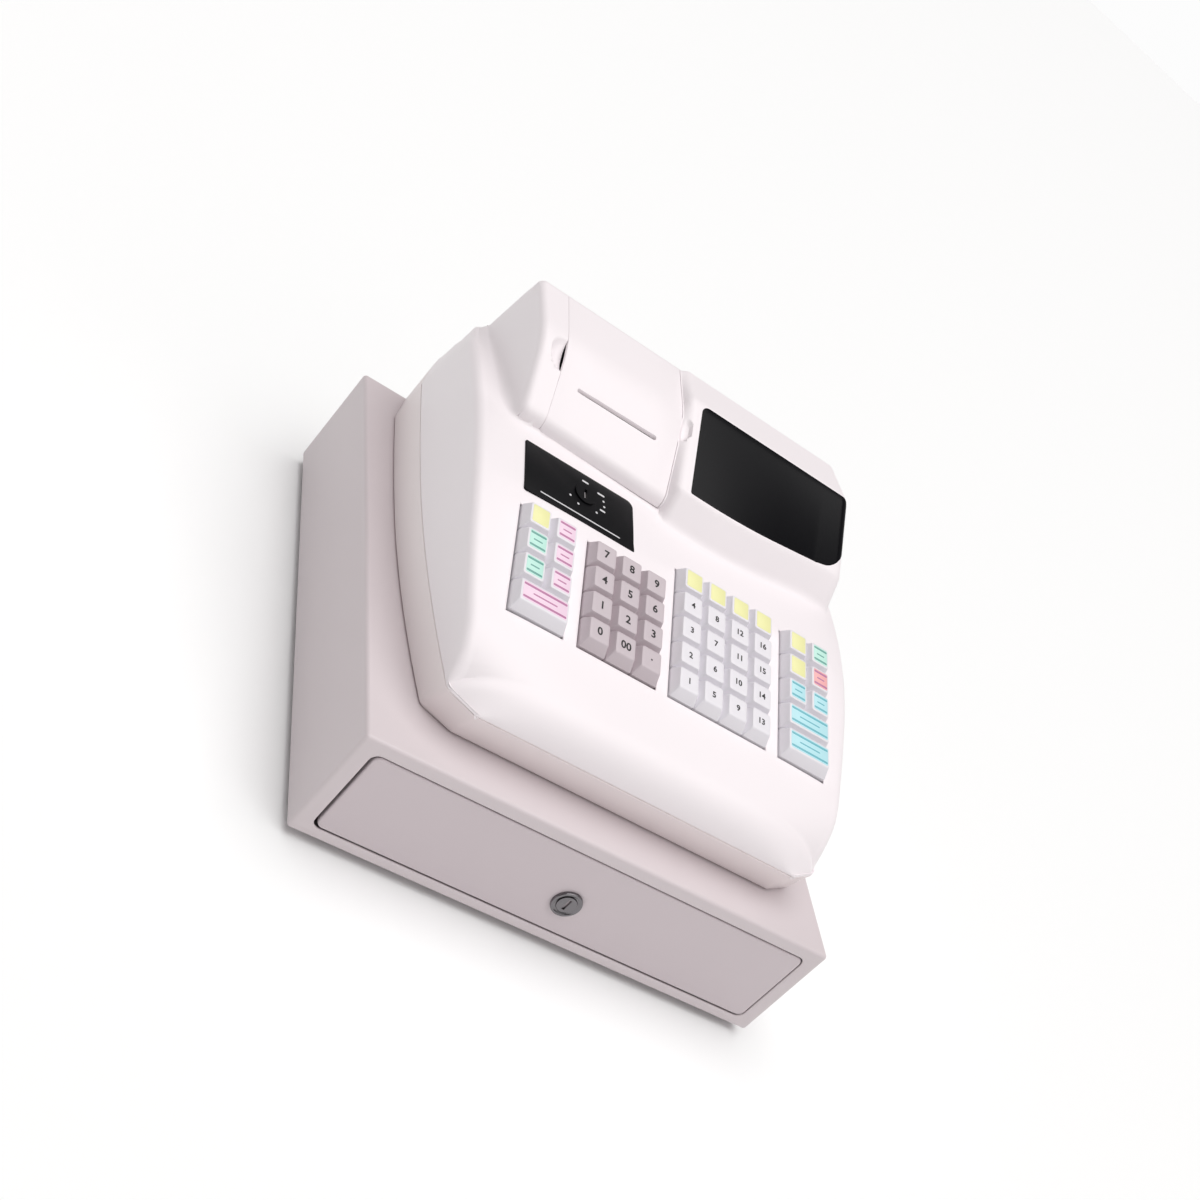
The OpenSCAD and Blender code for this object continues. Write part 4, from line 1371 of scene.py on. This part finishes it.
@dataclass
class DisplayWindow:
    """The black window: a patch that follows the display hood and wraps round its end."""

    form: ConsoleForm
    left: float = 2.5
    corner: float = 6.5
    low_corner: float = 1.5
    proud: float = 0.22
    edge: float = 0.35
    depth: float = 1.5
    bend: tuple[Point, ...] = (
        (116.0, 52.7), (121.0, 53.9), (125.0, 55.3), (128.4, 57.2), (131.2, 59.3),
        (133.6, 61.8), (136.2, 65.8), (139.0, 71.8), (142.0, 79.0), (152.0, 84.0),
    )

    def edges(self, xs: Array) -> tuple[Array, Array]:
        """Y of the window's lower and upper edge.

        The lower edge follows the hood's front, and then a bend given in flared places, which a
        few rounds of trial settle.

        Args:
            xs: X of the columns before the flare.

        Returns:
            The lower and upper y of each column.
        """
        form = self.form
        lower = form.sill[0] + 1.0 + form.display_front(xs)
        bend_x, bend_y = np.array(self.bend).T
        for _ in range(8):
            real = xs + form.end_shift(xs, lower)
            lower = np.where(real > bend_x[0], np.interp(real, bend_x, bend_y), lower)
        upper = form.window_top - edge_drop(xs - self.left, self.corner)
        return lower + edge_drop(xs - self.left, self.low_corner), upper

    def build(self) -> Piece:
        """Makes the window: a grid of columns between its edges, lifted off the hood.

        Returns:
            The window.
        """
        form = self.form
        xs = spaced([(self.left, 0.35), (9.5, 3.0), (112.0, 0.9), (126.0, 0.5), (142.6, 0.5)])
        lower, upper = self.edges(xs)
        ends = np.array([0.0, 0.004, 0.012])
        shares = np.concatenate([ends, np.linspace(0.03, 0.97, 24), 1 - ends[::-1]])
        y = lower + (upper - lower) * shares[:, None]
        x = np.broadcast_to(xs, y.shape)
        grid = np.stack([x + form.end_shift(x, y), y, form.display_height(x, y)], -1)
        rim = np.minimum(shares, 1 - shares)[:, None] * (upper - lower)
        side = np.minimum(xs - xs[0], xs[-1] - xs)
        lift = self.proud - edge_drop(np.minimum(rim, side), self.edge)
        grid = grid + grid_normals(grid) * lift[..., None]
        keep = np.ones((len(shares) - 1, len(xs) - 1), bool)
        builder = MeshBuilder("display_window_lens")
        builder.add(*thickened(grid, keep, self.depth), Look.WINDOW)
        return fitted(builder.build(30), "cabinet", "display_window")


@dataclass
class ModePanel:
    """The black panel with plain marks round the mode switch."""

    slope: Slope = Slope((-18.0, 169.4), 8.8)
    sides: Box = (-113.0, -30.5, 0.0, 44.5)
    radii: tuple[float, ...] = (1.2, 5.0, 1.2, 2.0)
    proud: float = 0.3
    switch: Point = (-68.5, 25.3)
    well: float = 7.55

    def level(self, inset: float, height: float) -> Array:
        """One level of the plate.

        Args:
            inset: How far it lies within the outline.
            height: Its height above the slope.

        Returns:
            Closed ring of points.
        """
        left, right, low, high = self.sides
        sides = (left + inset, right - inset, low + inset, high - inset)
        radii = [max(radius - inset, 0.3) for radius in self.radii]
        return self.slope.ring(rounded_box(sides, radii, 6), height)

    def mark(self, x: float, y: float, width: float, height: float) -> list[Array]:
        """Rings of one plain printed mark, centred on x and y."""
        shape = rounded_rectangle(width, height, min(width, height) / 2 * 0.8, 2) + [x, y]
        return [self.slope.ring(shape, self.proud + lift) for lift in (-0.05, 0.08)]

    def plate(self) -> Piece:
        """Makes the plate and cuts the switch's well.

        Returns:
            The panel.
        """
        builder = MeshBuilder("mode_panel_plate")
        levels = (
            (0.3, -1.5), (0.0, -1.2), (0.0, self.proud - 0.25), (0.08, self.proud - 0.07),
            (0.3, self.proud),
        )
        builder.loft([self.level(inset, z) for inset, z in levels], Look.PANEL)
        thing = builder.build()
        tool = MeshBuilder("switch_tool")
        turn = np.linspace(0, 2 * math.pi, 64, endpoint=False)
        disc = self.switch + self.well * np.column_stack([np.cos(turn), np.sin(turn)])
        tool.loft([self.slope.ring(disc, z) for z in (-4.0, 4.0)], Look.PANEL)
        cut(thing, tool.build())
        return thing

    def marks(self) -> Piece:
        """Makes the plain printed marks round the switch and the line at the panel's front.

        Returns:
            The marks.
        """
        builder = MeshBuilder("mode_panel_marks")
        x, y = self.switch
        for dx, dy, width, height in (
            (0.5, 12.2, 5.0, 1.5), (12.5, 9.0, 5.5, 1.5), (14.5, 4.2, 1.6, 1.6),
            (15.0, -0.4, 1.6, 1.6), (13.6, -5.0, 4.2, 1.5), (9.0, -9.6, 1.6, 1.6),
            (-5.0, -11.2, 1.6, 1.6), (-11.0, -7.5, 1.6, 1.6),
        ):
            builder.loft(self.mark(x + dx, y + dy, width, height), Look.MARK)
        middle = (self.sides[0] + self.sides[1]) / 2
        builder.loft(self.mark(middle, 5.0, 60.0, 1.0), Look.MARK)
        return builder.build()

    def build(self) -> Piece:
        """Puts the panel on the cabinet in place of its node, with its marks.

        Returns:
            The panel.
        """
        thing = fitted(self.plate(), "cabinet", "mode_panel")
        marks = self.marks()
        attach(marks, "cabinet")
        return thing


# Keys ------------------------------------------------------------------
class Plate(Enum):
    """A coloured label plate: its material slot, its finish, and the finish of its bars."""

    YELLOW = ("key_yellow", Look.KEY_YELLOW, None)
    PINK = ("key_pink", Look.KEY_PINK, Look.BAR_PINK)
    GREEN = ("key_green", Look.KEY_GREEN, Look.BAR_GREEN)
    RED = ("key_red", Look.KEY_RED, Look.BAR_PINK)
    CYAN = ("key_cyan", Look.KEY_CYAN, Look.BAR_CYAN)


@dataclass
class Key:
    """One key cap with its label plate, and bars or a number on it."""

    group: str
    column: int
    row: int
    span: int = 1
    cap: Look = Look.KEY_WHITE
    plate: Look = Look.KEY_WHITE
    bars: Look | None = None
    text: str = ""
    size: float = 5.0
    top: float = 7.0
    taper: float = 2.3
    leans: Point = (4.4, 2.2)
    behind: float = 1.61
    rim: float = 1.1

    def add_to(self, builder: MeshBuilder, layout: KeyLayout) -> None:
        """Adds the cap, its plate and its marks to a mesh.

        The cap is a stack of rounded rectangles on the slope, each further in by a share of the
        cap's taper, and by more at its rim.

        Args:
            builder: The mesh.
            layout: Where the keys stand.
        """
        slope = layout.slope
        width = self.span * layout.pitch - layout.gap
        depth = layout.row_depth(self.row) - layout.gap
        left = layout.groups[self.group][0] + self.column * layout.pitch + layout.gap / 2
        front = layout.row_start(self.row) + layout.gap / 2
        lean = self.leans[min(self.row, 1)]
        rings = []
        for share, height, more, radius in (
            (0.0, -6.0, 0.3, 0.7), (0.0, -5.6, 0.0, 0.9), (0.0, 0.5, 0.0, 0.9),
            (0.06, 0.95, 0.0, 0.9), (0.86, 6.1, 0.0, 1.3), (0.95, 6.65, 0.05, 1.4),
            (1.0, 6.9, 0.35, 1.5), (1.0, self.top, 0.85, 1.6), (1.0, 6.96, 2.2, 1.2),
            (1.0, 6.9, 4.0, 0.8),
        ):
            sides, ahead = self.taper * share + more, lean * share + more
            behind = self.behind * share + more
            shape = rounded_rectangle(width - 2 * sides, depth - ahead - behind, radius, 4)
            centre = [left + width / 2, front + (depth + ahead - behind) / 2]
            rings.append(slope.ring(shape + centre, height))
        builder.loft(rings, self.cap)
        label = (
            width - 2 * (self.taper + self.rim),
            depth - lean - self.behind - 2 * self.rim,
        )
        middle = (left + width / 2, front + (depth + lean - self.behind) / 2)
        if self.plate is not self.cap:
            self.slip(builder, slope, (*middle, *label), self.top + 0.12, self.plate)
        if self.bars is not None:
            for side in (-1, 1):
                place = (middle[0], middle[1] + side * label[1] * 0.36, label[0] - 0.6, 1.5)
                self.slip(builder, slope, place, self.top + 0.18, self.bars)
            place = (*middle, label[0] * 0.55, 1.0)
            self.slip(builder, slope, place, self.top + 0.17, self.bars)
        if self.text:
            points, faces = glyph(self.text, self.size)
            lift = 0.16 if self.plate is not self.cap else -0.02
            builder.add(slope.frame(points + [*middle, self.top + lift]), faces, Look.INK)

    @staticmethod
    def slip(builder: MeshBuilder, slope: Slope, place: Box, height: float, look: Look) -> None:
        """Adds a thin rounded plate on top of a key.

        Args:
            builder: The mesh.
            slope: The keyboard's slope.
            place: Its middle on the slope, its width and its depth.
            height: Height of its face.
            look: Its finish.
        """
        x, y, width, depth = place
        rings = []
        for inset, drop in ((0.0, 0.3), (0.0, 0.04), (0.06, 0.0)):
            radius = min(0.9, depth / 2.2)
            shape = rounded_rectangle(width - 2 * inset, depth - 2 * inset, radius, 3)
            rings.append(slope.ring(shape + [x, y], height - drop))
        builder.loft(rings, look)


@dataclass
class Keyboard:
    """All keys, one piece for each CAD node."""

    layout: KeyLayout
    digit_size: float = 7.6
    number_size: float = 5.8

    def coloured(self, plate: Plate, group: str, place: tuple[int, ...]) -> tuple[str, list[Key]]:
        """A key at a column, a row and perhaps a span, and the slot of its coloured plate."""
        slot, look, bars = plate.value
        return slot, [Key(group, *place, plate=look, bars=bars)]

    def pieces(self) -> dict[str, tuple[str, list[Key]]]:
        """The keys of each node.

        Returns:
            For each node, its material slot and its keys.
        """
        nodes: dict[str, tuple[str, list[Key]]] = {}
        mauve = Look.KEY_MAUVE
        for index, digit in enumerate("7 8 9 4 5 6 1 2 3 0 00 .".split()):
            place = (index % 3, 3 - index // 3)
            key = Key("number", *place, cap=mauve, plate=mauve, text=digit, size=self.digit_size)
            nodes[f"key_{'point' if digit == '.' else digit}"] = ("key_mauve", [key])
        yellow, pink, green, red, cyan = Plate
        for group, plates, top_row in (
            ("left", (yellow, pink, green, pink, green, pink), 3),
            ("right", (yellow, green, yellow, red, cyan, cyan), 4),
        ):
            for index, plate in enumerate(plates):
                place = (index % 2, top_row - index // 2)
                nodes[f"key_{group}_{index + 1}"] = self.coloured(plate, group, place)
        nodes["key_left_wide"] = self.coloured(pink, "left", (0, 0, 2))
        nodes["key_right_wide_1"] = self.coloured(cyan, "right", (0, 1, 2))
        nodes["key_right_wide_2"] = self.coloured(cyan, "right", (0, 0, 2))
        for column in range(4):
            keys = [
                Key("column", column, row, text=str(column * 4 + row + 1), size=self.number_size)
                for row in range(4)
            ]
            keys.append(Key("column", column, 4, plate=Look.KEY_YELLOW))
            nodes[f"key_column_{column + 1}"] = ("key_white", keys)
        return nodes

    def build(self) -> list[Piece]:
        """Makes every key piece.

        Returns:
            The pieces.
        """
        made = []
        for node, (slot, keys) in self.pieces().items():
            builder = MeshBuilder(f"{node}_cap")
            for key in keys:
                key.add_to(builder, self.layout)
            made.append(fitted(builder.build(30), f"{node}_body", node))
        return made


# Drawer ----------------------------------------------------------------
@dataclass
class DrawerUnit:
    """The folded housing, the drawer's front and its lock."""

    width: float = 330.0
    depth: float = 367.0
    height: float = 77.6
    foot: float = 6.0
    sheet: float = 1.2
    bend: float = 2.5
    fold: float = 1.3
    mouth: Triple = (309.0, 61.3, 5.5)
    mouth_below: float = 8.8
    gap: float = 1.0
    fit: float = 0.9975
    aside: float = 0.75
    front_depth: float = 20.0
    front_roll: float = 1.4
    lock_z: float = 38.4

    @property
    def mouth_z(self) -> float:
        """Middle height of the opening."""
        return self.foot + self.height - self.mouth_below - self.mouth[1] / 2

    @staticmethod
    def level(y: float, size: Triple, middle: float, grow: float = 0.0) -> Array:
        """Rounded rectangle standing at y.

        Args:
            y: Where it stands.
            size: Its width, height and radius.
            middle: Height of its middle.
            grow: How much wider and higher it is made.

        Returns:
            Closed ring of points.
        """
        width, height, radius = size
        shape = rounded_rectangle(width + grow, height + grow, radius, 6)
        return np.column_stack([shape[:, 0], np.full(len(shape), y), shape[:, 1] + middle])

    def housing(self) -> Piece:
        """The housing: from its inner back, out through the mouth, round the bends to the rear.

        Returns:
            The housing.
        """
        front, back, sheet = -self.depth / 2, self.depth / 2, self.sheet
        middle = self.foot + self.height / 2
        inner = (self.width - 2 * sheet, self.height - 2 * sheet, self.fold)
        rings = [self.level(y, inner, middle) for y in (back - sheet, front + sheet)]
        for ahead, grow in ((sheet, 0.0), (0.5, 0.0), (0.15, 0.3)):
            rings.append(self.level(front + ahead, self.mouth, self.mouth_z, grow))
        lip = (*self.mouth[:2], self.mouth[2] + 0.4)
        rings.append(self.level(front, lip, self.mouth_z, 1.0))
        turns = np.radians(np.linspace(0, 90, 6))
        for y, sense in ((front, 1), (back, -1)):
            for turn in turns[::sense]:
                inset = self.bend * (1 - math.sin(turn))
                size = (self.width, self.height, max(self.bend - inset, 0.3))
                place = y + sense * self.bend * (1 - math.cos(turn))
                rings.append(self.level(place, size, middle, -2 * inset))
        builder = MeshBuilder("drawer_housing_shell")
        # Its paint is lighter than the drawer's: painted light against the console's shadow on the
        # housing's top.
        builder.loft(rings, Look.HOUSING)
        return fitted(builder.build(30), "cabinet", "drawer_housing")

    def panel(self) -> Piece:
        """The drawer's hollow front: from its back inside, round the edge to its face.

        Returns:
            The front.
        """
        front = -self.depth / 2
        rear = front + self.front_depth
        width, height, radius = (
            size - inset for size, inset in zip(self.mouth, (2 * self.gap, 2 * self.gap, self.gap))
        )
        inner = (width - 2 * self.sheet, height - 2 * self.sheet, radius - self.sheet)
        rings = [self.level(y, inner, self.mouth_z) for y in (front + self.sheet, rear)]
        rings.append(self.level(rear, (width, height, radius), self.mouth_z))
        for turn in np.radians(np.linspace(90, 0, 6)):
            inset = self.front_roll * (1 - math.sin(turn))
            size = (width, height, radius - inset * 0.5)
            place = front + self.front_roll * (1 - math.cos(turn))
            rings.append(self.level(place, size, self.mouth_z, -2 * inset))
        builder = MeshBuilder("drawer_front_panel")
        fit = np.array(rings) * [self.fit, 1.0, 1.0] + [self.aside, 0.0, 0.0]
        builder.loft(fit, Look.DRAWER)
        return fitted(builder.build(30), "drawer", "drawer_front")

    def lock(self) -> Piece:
        """The lock's bezel and body: one closed section turned about the lock's axis.

        Returns:
            The lock.
        """
        section = [
            (6.05, 15.2), (6.05, -1.1), (6.4, -1.35), (7.2, -1.45), (7.9, -1.95), (8.6, -2.0),
            (9.2, -1.8), (9.45, -1.3), (9.5, -0.6), (9.5, 0.0), (8.0, 0.0), (8.0, 15.2),
        ]
        radius, y = np.array(section).T
        turns = np.linspace(0, 2 * math.pi, 72, endpoint=False)[:, None]
        x, z = radius * np.cos(turns), self.lock_z + radius * np.sin(turns)
        rings = np.stack([x, np.broadcast_to(y - self.depth / 2, x.shape), z], axis=-1)
        builder = MeshBuilder("drawer_lock_bezel")
        builder.loft(rings, Look.CHROME, closed=True)
        return fitted(builder.build(30), "drawer", "drawer_lock")

    def build(self) -> list[Piece]:
        """Makes the housing, the front and the lock."""
        return [self.housing(), self.panel(), self.lock()]


# Everything else -------------------------------------------------------
def dress_nodes(nodes: dict[str, Piece]) -> None:
    """Gives every CAD node the finish of its material slot.

    Args:
        nodes: The CAD nodes by name.
    """
    looks = {look.value.slot: look for look in Look}
    for name, thing in nodes.items():
        for slot in thing.material_slots:
            plain = slot.material.name.split(".")[0] if slot.material else ""
            if plain in looks:
                slot.material = looks[plain].value.build()
            else:
                log.info("node %s keeps its material %s", name, plain)


@dataclass
class Studio:
    """Camera, lamps, floor and background."""

    location: Triple = (-507.195, -868.919, 589.392)
    right: Triple = (0.77211312, -0.11738736, 0.62454907)
    above: Triple = (-0.43584304, 0.61740704, 0.65486593)
    behind: Triple = (-0.46247397, -0.77783595, 0.42554561)
    lens: float = 52.948
    sensor: float = 36.0
    shift: Point = (-0.020336, 0.019678)
    clip: Point = (0.05, 20.0)
    lamp_colour: Triple = (1.0, 0.985, 0.98)
    pale: float = 0.98
    sky: float = 0.20
    floor_half: float = 40.0

    @staticmethod
    def place(thing: Piece, axes: Sequence[Sequence[float]], location: Sequence[float]) -> None:
        """Puts a camera or lamp into the scene.

        Args:
            thing: The camera or lamp.
            axes: Its own x, y and z axis in the frame.
            location: Its place in metres.
        """
        bpy.context.scene.collection.objects.link(thing)
        rotation = Matrix([list(axis) for axis in axes]).transposed().to_4x4()
        thing.matrix_world = Matrix.Translation(location) @ rotation

    def camera(self) -> None:
        """Sets the camera."""
        data = bpy.data.cameras.new("camera")
        data.lens = self.lens
        data.sensor_width = self.sensor
        data.shift_x, data.shift_y = self.shift
        data.clip_start, data.clip_end = self.clip
        thing = bpy.data.objects.new("camera", data)
        location = [value * MM for value in self.location]
        self.place(thing, (self.right, self.above, self.behind), location)
        bpy.context.scene.camera = thing

    def lamp(self, name: str, way: Triple, power: float, spread: float) -> None:
        """Adds a far soft lamp, so that the floor is lit evenly.

        Args:
            name: Its name.
            way: From the object towards the lamp.
            power: Its power in watts per square metre.
            spread: How wide it looks from the object, in degrees.
        """
        data = bpy.data.lights.new(name, "SUN")
        data.energy = power
        data.angle = math.radians(spread)
        data.color = self.lamp_colour
        back = unit(np.array(way))
        side = unit(np.cross([0.0, 1.0, 0.0], back))
        thing = bpy.data.objects.new(name, data)
        self.place(thing, (side, np.cross(back, side), back), 2.0 * back)

    def lamps(self) -> None:
        """Sets the lamps: a wide one overhead and a weak one from the front right."""
        self.lamp("overhead", (0.04, -0.02, 1.0), 2.4, 70.0)
        self.lamp("front", (0.5, -0.9, 0.7), 0.42, 60.0)

    def background(self) -> None:
        """Pale background for the camera, and a softer grey sky that lights the object."""
        world = bpy.data.worlds.new("studio")
        bpy.context.scene.world = world
        world.use_nodes = True
        tree = world.node_tree
        tree.nodes.clear()
        link = tree.links.new
        path = add_node(tree, "LightPath")
        white, grey = (1.0, 1.0, 1.0, 1.0), (1.0, 0.98, 0.98, 1.0)
        pale = add_node(tree, "Background", {"Color": white, "Strength": self.pale})
        sky = add_node(tree, "Background", {"Color": grey, "Strength": self.sky})
        seen = add_node(tree, "Math")
        seen.operation = "MAXIMUM"
        link(path.outputs["Is Camera Ray"], seen.inputs[0])
        link(path.outputs["Is Transmission Ray"], seen.inputs[1])
        mix = add_node(tree, "MixShader")
        link(seen.outputs["Value"], mix.inputs["Fac"])
        link(sky.outputs["Background"], mix.inputs[1])
        link(pale.outputs["Background"], mix.inputs[2])
        out = add_node(tree, "OutputWorld")
        link(mix.outputs["Shader"], out.inputs["Surface"])

    def floor(self) -> None:
        """Lays the pale floor."""
        mesh = bpy.data.meshes.new("floor")
        half = self.floor_half
        corners = [(-half, -half, 0), (half, -half, 0), (half, half, 0), (-half, half, 0)]
        mesh.from_pydata(corners, [], [(0, 1, 2, 3)])
        thing = bpy.data.objects.new("floor", mesh)
        bpy.context.scene.collection.objects.link(thing)
        finish = Finish("floor", (0.985, 0.99, 0.99), 0.9, bump=0.0, mottle=0.0)
        mesh.materials.append(finish.build())

    def build(self) -> None:
        """Sets everything round the object, and the plain view transform."""
        self.camera()
        self.lamps()
        self.background()
        self.floor()
        bpy.context.scene.view_settings.view_transform = "Standard"


def main() -> None:
    """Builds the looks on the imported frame, class by class."""
    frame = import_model()
    Studio().build()
    dress_nodes(frame["nodes"])
    form = ConsoleForm()
    hood = PrinterHood(form)
    layout = KeyLayout()
    pieces = [
        UpperCase(form, hood, layout).build(),
        LowerCase(form).build(),
        PrinterCover(form, hood).build(),
        DisplayWindow(form).build(),
        ModePanel().build(),
        *Keyboard(layout).build(),
        *DrawerUnit().build(),
    ]
    for piece in pieces:
        log.info("%s: %d faces", piece.name, len(piece.data.polygons))


if __name__ == "__main__":
    main()
